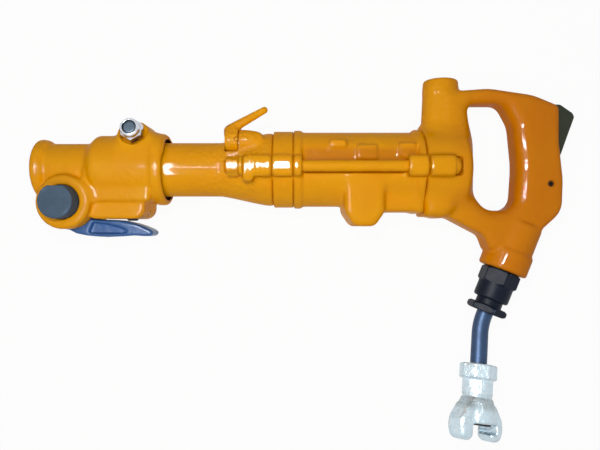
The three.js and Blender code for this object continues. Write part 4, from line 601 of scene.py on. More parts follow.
# %% Latch and clamp, which several pieces share
latch_from_nose, latch_drop = 31.5, 31.5
latch = np.array((nose + latch_from_nose, -latch_drop))
pin_radius, pin_reach, lever_half_width, lever_hub_radius = 15.2, 46, 12, 25.5
clamp_x, clamp_offset, clamp_tilt, bolt_radius = head_rear - 27, 28, math.radians(10), 6
clamp_middle = np.array((
    clamp_x, clamp_offset * math.cos(clamp_tilt), -clamp_offset * math.sin(clamp_tilt)))
clamp_way = np.array((0, math.sin(clamp_tilt), math.cos(clamp_tilt)))


def clamp_point(distance):
    """A point on the clamp bolt's axis, in drill millimetres."""
    return clamp_middle + clamp_way * distance


clamp_hole = bar(clamp_point(-50), clamp_point(50), bolt_radius + seat_gap)
print("latch pin at", latch.round(1), "clamp bolt at", clamp_middle.round(1))

# %% Lugs and holes for the side rods
rod_offset, rod_radius = 37, 5
lug_root, lug_reach, lug_half_height, lug_corner, lug_roll = 20, 46.0, 9.5, 5.5, 1.5


def both_sides(shape_at):
    """The same shape for the near and the far side of the drill."""
    return [shape_at(1), shape_at(-1)]


def rod_holes(start, end, hole_radius=rod_radius + seat_gap):
    return both_sides(lambda side: bar(
        (start, 0, rod_offset * side), (end, 0, rod_offset * side), hole_radius))


def lug(start, end, low=-lug_half_height, reach=lug_reach):
    """The square ears that carry the side rods, on both sides."""
    def one(side):
        root, rim, high = lug_root * side, reach * side, lug_half_height
        corners = [(low, root), (low, rim, lug_corner), (high, rim, lug_corner), (high, root)]
        return plate(rounded(corners), start, end, lug_roll, along="x")
    return both_sides(one)


print("the rods are", 2 * rod_offset, "mm apart")

# %% Outside of the front head
head = Block((nose, -57, -34), (head_rear, 44, 34), 0.88)
flange_radius, neck_radius, body_radius, rear_ring_radius = 28.5, 24.5, 32, 33.5
shoulder_x, rear_ring_x = nose + 46, head_rear - 11
bell = [(nose + 1.6 + 9 * math.sin(a), flange_radius - 4 * (1 - math.cos(a))) for a in quarter(12)]
shoulder = [(shoulder_x + 12 * share, neck_radius + (body_radius - neck_radius) * eased(share))
            for share in np.linspace(0, 1, 9)]
head.add(turned([
    (nose, flange_radius - 1.3), (nose + 1, flange_radius - 0.2), *bell[1:], *shoulder,
    (rear_ring_x, body_radius), (rear_ring_x + 1.5, rear_ring_radius),
    (head_rear - 2, rear_ring_radius), (head_rear, rear_ring_radius - 2)]))
web_drop, web_half_width = 31, 26.4
web = brick((shoulder_x + 1, -web_drop, -web_half_width), (rear_ring_x, 0, web_half_width), 2.4)
head.add(web, blend=1.5)
boss_reach, boss_radius = 31.5, 24.5
head.add(bar((*latch, -boss_reach), (*latch, boss_reach), boss_radius, roll=3.4), blend=6)
housing_rear, housing_length, housing_drop, housing_slant = head_rear - 17, 54, 46.6, 6.5
housing_front = housing_rear - housing_length
housing = rounded([
    (housing_front + 4.9, -20), (housing_front, housing_slant - housing_drop, 5),
    (housing_front + housing_slant, -housing_drop, 4), (housing_rear, -housing_drop, 10),
    (housing_rear, -20)])
housing_half_width, ear_half_width, ear_radius = 23, 25, 14.5
head.add(plate(housing, -housing_half_width, housing_half_width, 2.2), blend=2)
ear_front, ear_top = clamp_x - ear_radius, clamp_offset + ear_radius
ear = rounded([(ear_front, 10), (head_rear - seat_gap, 14), (clamp_x + ear_radius / 2, ear_top, 8),
               (ear_front, ear_top, 14)])
head.add(plate(ear, -ear_half_width, ear_half_width, 6), blend=11).sand(0.9)
print("head block:", head.distance.shape, "cells")

# %% Bores of the front head
barrel_radius, nose_bore, mouth_chamfer, recess_radius, recess_depth = 25.3, 20, 2.5, 28.8, 4.5
barrel_seat, socket_radius = barrel_front - seat_gap, barrel_radius + seat_gap
recess_x = head_rear - recess_depth
head.cut(turned([
    (nose - overrun, nose_bore + mouth_chamfer + overrun), (nose + mouth_chamfer, nose_bore),
    (barrel_seat, nose_bore), (barrel_seat, socket_radius), (recess_x, socket_radius),
    (recess_x, recess_radius), (head_rear + overrun, recess_radius)]))
lever_room, slot_top = lever_half_width + running_gap, -26.5
lever_gap = brick((nose + 5, -58, -lever_room), (nose + 68, slot_top, lever_room))
below_slot_top = brick((latch[0] - 51, -90, -14), (latch[0] + 51, slot_top, 14))
lever_hub = bar((*latch, -lever_room), (*latch, lever_room), lever_hub_radius + running_gap)
pin_hole = bar((*latch, -50), (*latch, 50), pin_radius + running_gap)
head.cut(pin_hole, lever_gap, common(lever_hub, below_slot_top))
plunger_x, plunger_radius, plunger_pin_y = head_rear - 34, 6, -40.5
head.cut(bar((plunger_x, -50, 0), (plunger_x, -28, 0), plunger_radius + running_gap))
head.cut(bar((plunger_x - 7.6, plunger_pin_y, 0), (head_rear + 0.6, plunger_pin_y, 0), 1.9))
pocket_floor, pocket_radius, slit_half_width = 22.6, 12.5, 1.5
head.cut(clamp_hole, *both_sides(lambda side: bar(
    clamp_point(pocket_floor * side), clamp_point(48 * side), pocket_radius, roll=1)))
head.cut(brick((clamp_x - 25.4, 24, -slit_half_width), (head_rear + 7.6, 60, slit_half_width)))
head.sand(0.35).cast("front_head_casting", "casing", enamel, ["front_head"])

# %% [markdown]
# ## Barrel
# The barrel holds the turning chuck. It flares at the rear to meet the centre ring, where
# a pair of lugs and two heavier ears take the side rods. The hump on its shoulder is the
# body of the blow valve, and the notch in front of it is cut away for the valve's lever.

# %% Outside of the barrel
barrel = Block((barrel_front, -35, -46), (barrel_rear, 36, 46), 0.9)
flare_radius, flare_length, collar_length = 34, 43.4, 6
flare_front = barrel_rear - collar_length - flare_length
flare = [(flare_front + flare_length * share,
          barrel_radius + (flare_radius - barrel_radius) * (0.75 * share + 0.25 * eased(share)))
         for share in np.linspace(0, 1, 12)]
barrel.add(turned([
    (barrel_front, barrel_radius - 2.5), (barrel_front + 2.5, barrel_radius), *flare,
    (barrel_rear - 0.8, flare_radius), (barrel_rear, flare_radius - 0.8)]))
rod_seat = barrel_rear - 25.7
barrel.add(*lug(barrel_rear - 17, barrel_rear, reach=45.7), blend=4)
barrel.add(*lug(rod_seat, rod_seat + 9, low=-14, reach=45.4), blend=4)
blow_y, blow_z, blow_hub_radius = 25, 19, 10.5
hub_rear = barrel_rear - 31.5
hub_front, hump_x = hub_rear - 12, hub_rear + running_gap
hump = [(hump_x + 22.5 * math.sin(a), 9.8 * math.cos(a) ** 0.45) for a in quarter(14)]
cradle_y, cradle_z, cradle_radius = 18, 13.7, 13.4
barrel.add(turned(hump, blow_y, blow_z), turned(hump, cradle_y, cradle_z), blend=2.5)
cradle = bar((hub_front, cradle_y, cradle_z), (hub_rear + 2, cradle_y, cradle_z), cradle_radius, roll=1.5)
barrel.add(cradle, blend=4)
barrel.sand(0.9)
print("the blow valve's hub is", round(hub_rear - hub_front, 1), "mm long")

# %% Bores of the barrel
front_bore, rear_bore, bore_step_x = 20.4, 18.9, barrel_rear - 51
barrel.cut(turned([(barrel_front - overrun, front_bore), (bore_step_x, front_bore),
                   (bore_step_x + 2, rear_bore), (barrel_rear + overrun, rear_bore)]))


def on_blow_axis(start, end, hole_radius):
    """A round hole or hub on the blow valve's axis."""
    return bar((start, blow_y, blow_z), (end, blow_y, blow_z), hole_radius)


notch_front = hub_front - 0.4
notch_back_corner = (hump_x, 50, 40)
spindle_radius, spindle_collar_radius, nut_room = 4.6, 6.2, 9.4
barrel.cut(on_blow_axis(notch_front, hump_x, blow_hub_radius + running_gap))
barrel.cut(brick((notch_front, blow_y, -blow_hub_radius), notch_back_corner),
           brick((notch_front, blow_y - blow_hub_radius, blow_z), notch_back_corner))
barrel.cut(on_blow_axis(hub_front - overrun, hub_rear + 21.3, spindle_radius + running_gap))
barrel.cut(on_blow_axis(hub_rear, hub_rear + 8.2, spindle_collar_radius + running_gap), clamp_hole)
barrel.cut(*rod_holes(head_rear, barrel_rear + overrun), *rod_holes(head_rear, rod_seat, nut_room))
barrel.sand(0.35).cast("barrel_casting", "casing", enamel, ["barrel"])

# %% [markdown]
# ## Centre ring and cylinder
# The centre ring guides the piston's stem between barrel and cylinder. The cylinder is
# the largest casting: flanges at both ends, a flat channel on each side for the side rod,
# the exhaust boss, a flat belly behind it, and raised pads where the air ways run.

# %% Cast the centre ring
ring = Block((ring_front, -36, -47), (ring_rear, 36, 47), 0.7)
ring_radius, ring_bore, ring_overlap = 35.8, 24, 0.2
ring_start, ring_end = ring_front - ring_overlap, ring_rear + ring_overlap
ring.add(turned([(ring_start, ring_radius), (ring_end, ring_radius)]))
ring.add(*lug(ring_start, ring_end), blend=3).sand(0.5)
ring.cut(bar((ring_front - 3, 0, 0), (ring_rear + 3, 0, 0), ring_bore))
ring.cut(*rod_holes(ring_front - overrun, ring_rear + overrun))
ring.cast("centre_ring_casting", "casing", enamel, ["centre_ring"])

# %% Outside of the cylinder
cylinder = Block((cylinder_front, -54, -46), (0, 38, 46), 0.9)
wall_radius, front_flange_radius, rear_flange_radius = 35, 36.8, 37.5
channel_front, channel_rear = cylinder_front + 8, -7
cylinder.add(turned([
    (cylinder_front, front_flange_radius), (channel_front - 0.6, front_flange_radius),
    (channel_front + 0.4, wall_radius), (channel_rear - 2, wall_radius),
    (channel_rear, rear_flange_radius), (-0.6, rear_flange_radius), (0, rear_flange_radius - 0.6)]))
boss_front, boss_length, boss_drop, belly_drop = -73, 36.6, 53.5, 40.2
boss_rear, boss_half_width, belly_half_width = boss_front + boss_length, 33, 26
boss = rounded([
    (boss_front, 0), (boss_front, -belly_drop, 12), (boss_front + boss_length / 4, -boss_drop, 8),
    (boss_rear - boss_length / 4, -boss_drop, 8), (boss_rear, -belly_drop, 12), (boss_rear, 0)])
cylinder.add(plate(boss, -boss_half_width, boss_half_width, 6), blend=5)
belly = rounded([(-40, 0), (-40, -belly_drop), (-9, -belly_drop), (0, -belly_drop - 2, 2), (0, 0)])
cylinder.add(plate(belly, -belly_half_width, belly_half_width, 5), blend=4)
print("exhaust boss:", round(boss_length, 1), "by", round(boss_drop - wall_radius, 1), "mm")

# %% Channels, pads and bores of the cylinder
def side_bricks(start, end, low, high, inner, outer, roll):
    """A brick on each side, from `inner` to `outer` millimetres off the drill's middle."""
    return both_sides(lambda side: brick(
        (start, low, min(inner * side, outer * side)), (end, high, max(inner * side, outer * side)), roll))


cylinder.cut(*side_bricks(channel_front, channel_rear, -5.6, 19.5, 30, 50, 0.6), blend=1.5)
pads = [(-86.8, -71, 17, 24.6), (-62, -43.7, 6.4, 19.8), (-24.6, -9, 9, 21.8)]
for start, end, low, high in pads:
    cylinder.add(*side_bricks(start, end, low, high, 27, 32, 1.2), blend=2)
cylinder.add(*lug(-18, 0), *lug(cylinder_front, channel_front), blend=3)
cylinder.sand(0.9)
cylinder_bore, port_half_length, port_half_width = 25.1, 9, 19
cylinder.cut(bar((cylinder_front - overrun, 0, 0), (overrun, 0, 0), cylinder_bore))
cylinder.cut(*rod_holes(cylinder_front - overrun, overrun))
port_x = (boss_front + boss_rear) / 2
cylinder.cut(brick((port_x - port_half_length, -60, -port_half_width),
                   (port_x + port_half_length, 0, port_half_width), 3))
cylinder.sand(0.35).cast("cylinder_casting", "casing", enamel, ["cylinder"])

# %% [markdown]
# ## Handle
# The handle is what the hand meets, so its pattern is the softest. Seen from the side it
# is a flat plate with a grip opening, whose edge rolls over on both faces by 13 mm. A
# round backhead closes the cylinder, a tower holds the throttle, and the inlet boss leans
# away underneath. Two outlines with different rolls, of which the nearer one counts, give
# the frame in one step.

# %% Outlines of the handle
handle_length, tower_height = 131, 84.3


def on_handle(shares):
    """Corners given as shares of the handle's length and the tower's height."""
    return rounded([(handle_length * along, tower_height * up, handle_length * (rest[0] if rest else 0))
                    for along, up, *rest in shares])


frame_outline = on_handle([
    (0.0992, -0.5291), (0.1832, -0.5291, 0.137), (0.4427, -0.7414, 0.069), (0.4809, -0.9015),
    (0.7405, -0.9015), (0.8168, -0.7236, 0.107), (0.9924, -0.4745, 0.168), (1, -0.1186, 0.305),
    (0.9718, 0.2847, 0.305), (0.9718, 0.694, 0.046), (0.7863, 0.8126, 0.305), (0.4733, 0.8849, 0.382),
    (0.155, 0.8482), (0.155, 0.1068), (0.0992, 0.1068)])
opening_outline = on_handle([
    (0.3305, 0.7165, 0.053), (0.5702, 0.7165, 0.084), (0.6489, 0.4911, 0.198), (0.6779, 0.0308, 0.458),
    (0.6565, -0.4531, 0.137), (0.4603, -0.4531, 0.126), (0.3656, -0.261, 0.099), (0.3656, 0.2918, 0.305)])
slot_outline = on_handle([
    (0.8359, -0.2847), (0.9313, -0.2847), (1.0382, 0.1068), (1.0382, 0.8185), (0.8397, 0.8185),
    (0.813, 0.6643), (0.8282, 0.1068)])
print("grip opening, mm:", (opening_outline.max(0) - opening_outline.min(0)).round(1))

# %% Fields of the grip and the tower
grip_half_width, outer_roll, inner_roll = 17, 6, 13
tower_x, tower_foot_radius, tower_radius = 20.3, 20, 16.4


def grip_field(x, y, z):
    outer = corner_distance(outline_distance(frame_outline, x, y), np.abs(z) - grip_half_width, outer_roll)
    inner = corner_distance(-outline_distance(opening_outline, x, y), np.abs(z) - grip_half_width, inner_roll)
    return np.maximum(outer, inner)


def tower_field(x, y, z):
    column = bar((tower_x, 0, 0), (tower_x, 78, 0), tower_foot_radius, tower_radius).field(x, y, z)
    return -softly(-column, grip_half_width - np.abs(z), 5)


def inlet_point(distance):
    """A point on the air inlet's axis, in drill millimetres, counted outwards from its rim."""
    lean = math.radians(inlet_lean)
    way = np.round((-math.sin(lean), -math.cos(lean), 0), 5)
    return np.array((inlet_x, -inlet_drop, 0)) + way * distance


inlet_root, inlet_neck_radius, inlet_collar_radius = -48, 20.6, 22.5
print("the inlet's root is at", inlet_point(inlet_root).round(1))

# %% Outside of the handle
handle = Block((0, -104, -46), (handle_length, 85, 46), 1.0)
handle.add(Shape(grip_field, (13, -77, -grip_half_width), (handle_length, 76, grip_half_width)))
handle.add(Shape(tower_field, (0, 0, -20), (41, 78, 20)), blend=5)
joint_face, lug_rear, backhead_radius = 0.9, 24.2, 37
skirt_drop, skirt_half_width = 44.6, 26
dome = [(36 + 8 * math.sin(a), backhead_radius * (0.5 + 0.5 * math.cos(a))) for a in quarter(10)]
handle.add(turned([(joint_face, backhead_radius), *dome]), blend=12)
skirt = rounded([(joint_face, 0), (joint_face, -skirt_drop, 1), (26, -skirt_drop, 14), (38, 0)])
handle.add(plate(skirt, -skirt_half_width, skirt_half_width, 9), blend=6)
handle.add(bar(inlet_point(inlet_root), inlet_point(-14), inlet_neck_radius, roll=2), blend=2.5)
handle.add(bar(inlet_point(-20), inlet_point(0), inlet_collar_radius, roll=1.3), blend=0.8)
handle.add(*lug(joint_face, lug_rear), blend=4)
handle.add(bar((tower_x, 70, 0), (tower_x, tower_height, 0), tower_radius, roll=1.6), blend=1.5)
handle.sand(1.1)
print("handle block:", handle.distance.shape, "cells")

# %% Openings and bores of the handle
trigger_pivot, trigger_pin_hole, slot_half_width = (118.5, -14.2), 2.7, 7.8
cavity_length, cavity_radius, inlet_bore = 22, 26.6, 13
tower_bore, plug_seat, plug_hole, above_tower = 8, 79.3, 10.3, 86
handle.cut(plate(opening_outline, -50, 50), blend=2)
handle.cut(bar((-overrun, 0, 0), (cavity_length, 0, 0), cavity_radius))
handle.cut(bar((tower_x, 0, 0), (tower_x, above_tower, 0), tower_bore))
handle.cut(bar((tower_x, plug_seat, 0), (tower_x, above_tower, 0), plug_hole))
handle.cut(bar(inlet_point(-36.6), inlet_point(overrun), inlet_bore))
handle.cut(bar((*trigger_pivot, -30), (*trigger_pivot, 30), trigger_pin_hole))
handle.cut(plate(slot_outline, -slot_half_width, slot_half_width))
throttle_y, throttle_bore, rod_head_room = 4, 7.5, 8.4
handle.cut(bar((92.5, throttle_y, 0), (110, throttle_y, 0), throttle_bore))
handle.cut(*rod_holes(-overrun, 20), *rod_holes(lug_rear, 31, rod_head_room))
handle.cast("handle_casting", "casing", enamel, ["handle"])

# %% [markdown]
# ## Blow valve lever
# A short tapered finger on a round hub turns the blow valve, which clears dust out of the
# hole. It is cast and painted like the rest. Small pieces get smaller cells, here 0.4 mm,
# because a fillet needs about two cells to look round.

# %% Cast the blow valve lever
blow_lever = Block((-182, 14, 8), (-141, 57, 30), 0.4)
blow_lever.add(turned([
    (hub_front, 9.0), (hub_front + 3, 10.4), (hub_rear - 0.4, blow_hub_radius), (hub_rear, 10.1)],
    blow_y, blow_z))
arm_x, arm_y, arm_run, arm_rise = hub_front + 4.5, 35.5, 31, 17.4
blow_lever.add(sausage(
    (arm_x, arm_y, blow_z), (arm_x + arm_run, arm_y + arm_rise, blow_z), 4.5, 3.1), blend=5)
blow_lever.add(bar((arm_x - 0.3, 27, blow_z), (arm_x, arm_y, blow_z), 5.6, 4.6), blend=3)
cross_x = hub_rear - 1.4
blow_lever.sand(0.5).cut(on_blow_axis(hub_front - overrun, hub_rear + overrun, spindle_radius + seat_gap))
blow_lever.cut(bar((cross_x, blow_y, 0), (cross_x, blow_y, 40), 1.6 + seat_gap))
blow_lever.cast("blow_lever_casting", "blow_valve", enamel, ["blow_valve_lever"])

# %% [markdown]
# ## Steel finishes
# Five steels show on the drill. The latch lever wears a dark blue-slate enamel, and its
# lighter blue edges are wear and a painted highlight too. The latch pin's end is bare, turned and dull.
# The inlet fittings are blackened, which rubs off to steel on corners. The tube is blued and the lock nut
# zinc plated. Everything inside is ground and oiled. They share one recipe, a base colour, a lighter colour
# on the edges for wear and sheen, and a fine grain, so one function makes them all from their own numbers.

# %% A recipe for metal finishes
def metal(name, slot, base, wear_and_sheen_colour, roughness, metallic, coat=0.0, grain_mm=0.8, grain_depth=0.02,
          waves_depth=0.12, wear_and_sheen=0.8, gloss=0.5):
    made = Finish(name, slot, Coat_Weight=coat, Coat_Roughness=0.12, Specular_IOR_Level=gloss)
    spots = made.noise(9, detail=4)
    grain = made.noise(grain_mm, detail=2, seed=5.5)
    edge = made.ramp(made.node("ShaderNodeNewGeometry", output="Pointiness"), (0.52, 0.0), (0.60, 1.0))
    darker = colour(*(v * 0.82 for v in base))
    pitted = made.mix(made.ramp(spots, (0.42, 0.0), (0.75, 0.5)), colour(*base), darker)
    made.feed(
        Base_Color=made.mix(edge * (grain * wear_and_sheen), pitted, colour(*wear_and_sheen_colour)),
        Roughness=(grain - 0.5) * 0.16 + spots * 0.12 + (roughness - 0.06),
        Metallic=edge * 0.1 + metallic,
    )
    made.bump((made.noise(6, detail=1, seed=2.2), waves_depth), (grain, grain_depth))
    return made


# The latch lever's lighter blue edges are a painted highlight as well as wear.
slate_enamel = metal("slate_enamel", "dark_steel", (58, 100, 160), (124, 176, 226), 0.34, 0.0, coat=0.2,
                     waves_depth=0.6, wear_and_sheen=1.8, gloss=0.1)
pin_face = metal("turned_pin_steel", "pin_steel", (64, 86, 108), (84, 104, 126), 0.55, 0.0, gloss=0.1)
black_oxide = metal("black_oxide", "dark_steel", (16, 25, 41), (96, 112, 146), 0.45, 0.0, wear_and_sheen=1.4, gloss=0.12)
tube_steel = metal("blued_tube", "dark_steel", (54, 78, 112), (104, 130, 166), 0.42, 0.35,
                   waves_depth=0.08, gloss=0.3)
bolt_end = metal("bolt_end_steel", "dark_steel", (62, 76, 88), (110, 124, 140), 0.36, 0.5, gloss=0.3)
plated = metal("zinc_plate", "zinc", (206, 210, 218), (240, 243, 246), 0.13, 0.97, grain_depth=0.01)
bright_steel = metal("ground_steel", "machined", (160, 163, 168), (200, 202, 205), 0.28, 0.95)
bronze = metal("bronze", "bronze", (150, 112, 60), (196, 158, 96), 0.35, 0.9)
# Near black: painted shade for the trigger pin's end, which sits in a dark hole.
dark_bronze = metal("tarnished_bronze", "bronze", (30, 26, 18), (84, 66, 40), 0.5, 0.2, gloss=0.15)
trigger_paint = metal("trigger_enamel", "trigger_paint", (50, 55, 42), (84, 92, 78), 0.48, 0.05, gloss=0.2)
rubber = metal("seal_rubber", "rubber", (30, 30, 31), (52, 52, 54), 0.75, 0.0, wear_and_sheen=0.3)
print("finishes:", [material.name for material in bpy.data.materials])

# %% [markdown]
# ## Rough cast zinc
# The coupling is malleable iron, hot-dip galvanised: pale grey, with a coarse lumpy skin
# that breaks every highlight into crumbs. Two sizes of bump do this, and a cell pattern
# stands in for the zinc's faint crystals. The creases and the band under its collar are coloured darker, as
# painted shade.

# %% Galvanised coupling
galvanised = Finish("galvanised_casting", "zinc")
crystals = galvanised.node("ShaderNodeTexVoronoi", {}, {"Vector": galvanised.place, "Scale": 420.0}, output=1)
crystal_grey = galvanised.node("ShaderNodeRGBToBW", {}, {"Color": crystals})
clouds = galvanised.noise(12, detail=4)
skin = galvanised.noise(1.7, detail=2, seed=4.4)
zinc_edges = galvanised.node("ShaderNodeNewGeometry", output="Pointiness")
creases = galvanised.ramp(zinc_edges, (0.42, 1.0), (0.505, 0.0))
along_hose = coupling.col[0].xyz.normalized()
along = galvanised.vector("DOT_PRODUCT", galvanised.place, along_hose, output="Value")
collar_x = -0.018
under_collar = galvanised.near(
    along - along_hose.dot(coupling.translation), collar_x, 0.002, 0.009) * 0.7
mottle = crystal_grey * 0.25 + skin * 0.35 + clouds * 0.3
dull = galvanised.mix(mottle, colour(172, 208, 228), colour(250, 255, 255))
# Painted shade: creases and the band under the collar are coloured darker.
crease_shade = creases * (0.4 + skin * 0.8) + under_collar * skin
galvanised.feed(
    Base_Color=galvanised.mix(crease_shade, dull, colour(92, 90, 80)),
    Roughness=clouds * 0.16 + 0.26,
    Metallic=0.85 - clouds * 0.4,
)
galvanised.bump((skin, 0.5), (galvanised.noise(6, detail=1, seed=9.1), 1.2))
print("zinc nodes:", len(galvanised.tree.nodes))

# %% [markdown]
# ## Latch pin and lever
# The pin is a turning bar across the nose, with a hollow in its middle that lets the
# steel's collar pass once the lever is swung. Its near end has a flat for a spanner. The
# lever is pressed from heavy plate, with a rim standing round a sunk three-cornered panel.

# %% Latch pin
pin = Block((latch[0] - 16, latch[1] - 16, -pin_reach), (latch[0] + 16, latch[1] + 16, pin_reach), 0.5)
pin.add(bar((*latch, -pin_reach), (*latch, pin_reach), pin_radius, roll=0.4)).sand(0.25)
swung = math.radians(65)
hollow_middle = latch + latch_drop * np.array((-math.sin(swung), math.cos(swung)))
hollow_way = 40 * np.array((math.cos(swung), math.sin(swung)))
pin.cut(bar((*(hollow_middle - hollow_way), 0), (*(hollow_middle + hollow_way), 0), nose_bore))
pin.cut(brick((latch[0] - 19, latch[1] + 13.6, 33.5), (latch[0] + 21, latch[1] + 21.5, 50)))
pin.cast("latch_pin_turned", "latch", pin_face, ["latch_pin"])

# %% Outline of the latch lever
lever_length = 77


def round_latch(distance, degrees):
    angle = math.radians(degrees)
    return (latch[0] + distance * math.cos(angle), latch[1] + distance * math.sin(angle))


def on_lever(shares):
    """Points given as shares of the lever's length, along it and away from the drill."""
    return [(latch[0] + lever_length * along, latch[1] - lever_length * across) for along, across in shares]


hub_edge = [round_latch(15.5, angle) for angle in np.linspace(-36, -122, 22)]
back_edge = [round_latch(21.7, -122), round_latch(25.4, -108), round_latch(lever_hub_radius, -93)]
blade = on_lever([
    (0.06, 0.372), (0.186, 0.398), (0.31, 0.410), (0.438, 0.416), (0.60, 0.410), (0.752, 0.398),
    (0.90, 0.406), (0.962, 0.405), (0.993, 0.375), (0.985, 0.345), (0.942, 0.316), (0.85, 0.278),
    (0.752, 0.246), (0.6, 0.215), (0.48, 0.207), (0.374, 0.206), (0.25, 0.195)])
panel_corners = on_lever([
    (0.215, 0.368), (0.268, 0.238), (0.434, 0.258), (0.60, 0.300), (0.70, 0.348), (0.60, 0.372)])
panel = rounded([(x, y, 1.6) for x, y in panel_corners])
print("lever panel, mm:", (panel.max(0) - panel.min(0)).round(1))

# %% Cast the latch lever
lever = Block((latch[0] - 16, -66, -lever_half_width), (latch[0] + 78, -42, lever_half_width), 0.45)
lever.add(plate(np.array(hub_edge + back_edge + blade), -lever_half_width, lever_half_width, 2.4))
panel_floor, panel_top = 8.2, 15
lever.cut(plate(panel, panel_floor, panel_top, 1.0), plate(panel, -panel_top, -panel_floor, 1.0), blend=2.4)
lever.sand(0.55)
key_angle = -79
lever.cut(bar((*round_latch(6.8, key_angle), 0), (*round_latch(28, key_angle), 0), 2.8))
lever.cast("latch_lever_blade", "latch", slate_enamel, ["latch_lever"])

# %% [markdown]
# ## Trigger
# The trigger is a painted steel wedge that fills the slot in the grip. Its edges are worn
# smooth by gloves.

# %% Trigger
trigger_outline = on_handle([
    (0.8611, -0.2307, 0.031), (0.9146, -0.2307, 0.031), (0.9636, -0.0493, 0.107), (0.9862, 0.1145, 0.053),
    (1.0095, 0.1672, 0.053), (1.0562, 0.3719, 0.107), (1.1059, 0.5838, 0.023), (1.0923, 0.6294, 0.023),
    (1.005, 0.723, 0.021), (0.9485, 0.7289, 0.031), (0.9169, 0.5065, 0.107), (0.8604, 0.0969, 0.053)])
trigger_half_width = 7
trigger = Block((111, -20, -trigger_half_width), (146, 62, trigger_half_width), 0.4)
trigger.add(plate(trigger_outline, -trigger_half_width, trigger_half_width, 1.6)).sand(0.4)
trigger.cut(bar((*trigger_pivot, -9), (*trigger_pivot, 9), 2.75))
trigger.cast("trigger_wedge", "trigger", trigger_paint, ["trigger"])

# %% [markdown]
# ## Clamp bolt and lock nut
# A tall plated lock nut with a round collar sits in a pocket of the clamp ear, and the
# dark end of the bolt shows in it. The bolt's axis leans ten degrees, so these two are
# cast in a frame of their own with x along the bolt.

# %% Prisms, and a frame along the clamp bolt
def prism(start, end, flats, sides, first_corner=0.0, chamfer=1.0):
    """A nut's body along x: a polygon with its corners turned off at both ends."""
    corner_radius = flats / 2 / math.cos(math.pi / sides)
    angles = math.radians(first_corner) + np.arange(sides) * 2 * math.pi / sides
    corners = np.stack([corner_radius * np.cos(angles), corner_radius * np.sin(angles)], 1)
    off = (corner_radius - flats / 2 + 0.25) * chamfer
    widest = corner_radius + 0.05
    lathe = turned([(start, corner_radius - off), (start + off * 0.6, widest),
                    (end - off * 0.6, widest), (end, corner_radius - off)])
    return common(plate(corners, start, end, along="x"), lathe)


across_bolt = Vector((1, 0, 0))
along_bolt = Vector(clamp_way)
bolt_axes = Matrix((along_bolt, across_bolt, along_bolt.cross(across_bolt))).transposed().to_4x4()
clamp = drill @ moved(*clamp_middle) @ bolt_axes
print("the clamp bolt leans", round(math.degrees(clamp_tilt)), "degrees")

# %% Clamp bolt and lock nut
clamp_flats, nut_seat, nut_top, bolt_tip = 18.5, 27.8, 36.3, 41.2
lock_nut = Block((27, -11, -11), (42, 11, 11), 0.3, clamp)
lock_nut.add(prism(nut_seat, nut_top, clamp_flats, 6, 30))
lock_nut.add(turned([(35, 8.6), (40.4, 8.6), (41.8, 7.4)]), blend=0.4).sand(0.25)
lock_nut.cut(bar((26, 0, 0), (44, 0, 0), bolt_radius + seat_gap))
lock_nut.cast("lock_nut", "casing", plated, ["clamp_nut"])
clamp_bolt = Block((-36, -11, -11), (42, 11, 11), 0.35, clamp)
clamp_bolt.add(prism(-nut_seat - 8, -nut_seat, clamp_flats, 6, 30))
clamp_bolt.add(turned([(-30, bolt_radius), (bolt_tip - 1, bolt_radius), (bolt_tip, bolt_radius - 1)]))
clamp_bolt.sand(0.25).cast("clamp_bolt_bar", "casing", bolt_end, ["clamp_bolt"])

# %% [markdown]
# ## Air inlet
# The bushing screws into the handle's boss, and the gland nut holds the swivel tube in it.
# Both are blackened hexagons with chamfered corners.

# %% Bushing and gland nut
bushing_end, hexagon_end, shank_end = 30, 14.8, -16
bushing_flats, bushing_radius, shank_radius = 32.5, 16.2, 12.7
bushing = Block((shank_end, -19, -19), (bushing_end, 19, 19), 0.5, inlet)
bushing.add(prism(seat_gap, hexagon_end, bushing_flats, 6, 30))
bushing.add(bar((shank_end, 0, 0), (1, 0, 0), shank_radius))
bushing.add(turned([(14, bushing_radius), (bushing_end - 1.5, bushing_radius),
                    (bushing_end, bushing_radius - 1.5)]), blend=0.6).sand(0.4)
bushing.cut(turned([(shank_end - overrun, 9.3), (10, 9.3), (10.1, 10.6), (24.3, 10.6), (24.4, 12.5),
                    (bushing_end + overrun, 12.5)]))
bushing.cast("inlet_bushing_black", "casing", black_oxide, ["inlet_bushing"])
gland_start, gland_end, gland_flats, gland_neck_radius = 35.6, 42.6, 33, 12.2
gland = Block((24, -20, -20), (43, 20, 20), 0.5, inlet)
gland.add(prism(gland_start, gland_end, gland_flats, 6, 30))
gland.add(bar((24.7, 0, 0), (36, 0, 0), gland_neck_radius)).sand(0.35)
gland.cut(bar((20, 0, 0), (45, 0, 0), 8.1))
gland.cast("gland_nut_black", "casing", black_oxide, ["gland_nut"])

# %% [markdown]
# ## Coupling
# A claw coupling joins hoses with an eighth of a turn: two rounded lobes reach forward
# and hook behind the lobes of its twin. It is cast, so the lobes melt into the neck.

# %% Shapes of the coupling
def spun(shape, degrees):
    """A shape turned about the x axis."""
    c, s = math.cos(math.radians(degrees)), math.sin(math.radians(degrees))
    widest = max(math.hypot(y, z) for y in (shape.low[1], shape.high[1])
                 for z in (shape.low[2], shape.high[2]))

    def field(x, y, z):
        return shape.field(x, c * y + s * z, c * z - s * y)

    return Shape(field, (shape.low[0], -widest, -widest), (shape.high[0], widest, widest))


def claws(shape):
    """A shape at both claws of the coupling, half a turn apart."""
    return spun(shape, -79), spun(shape, 101)


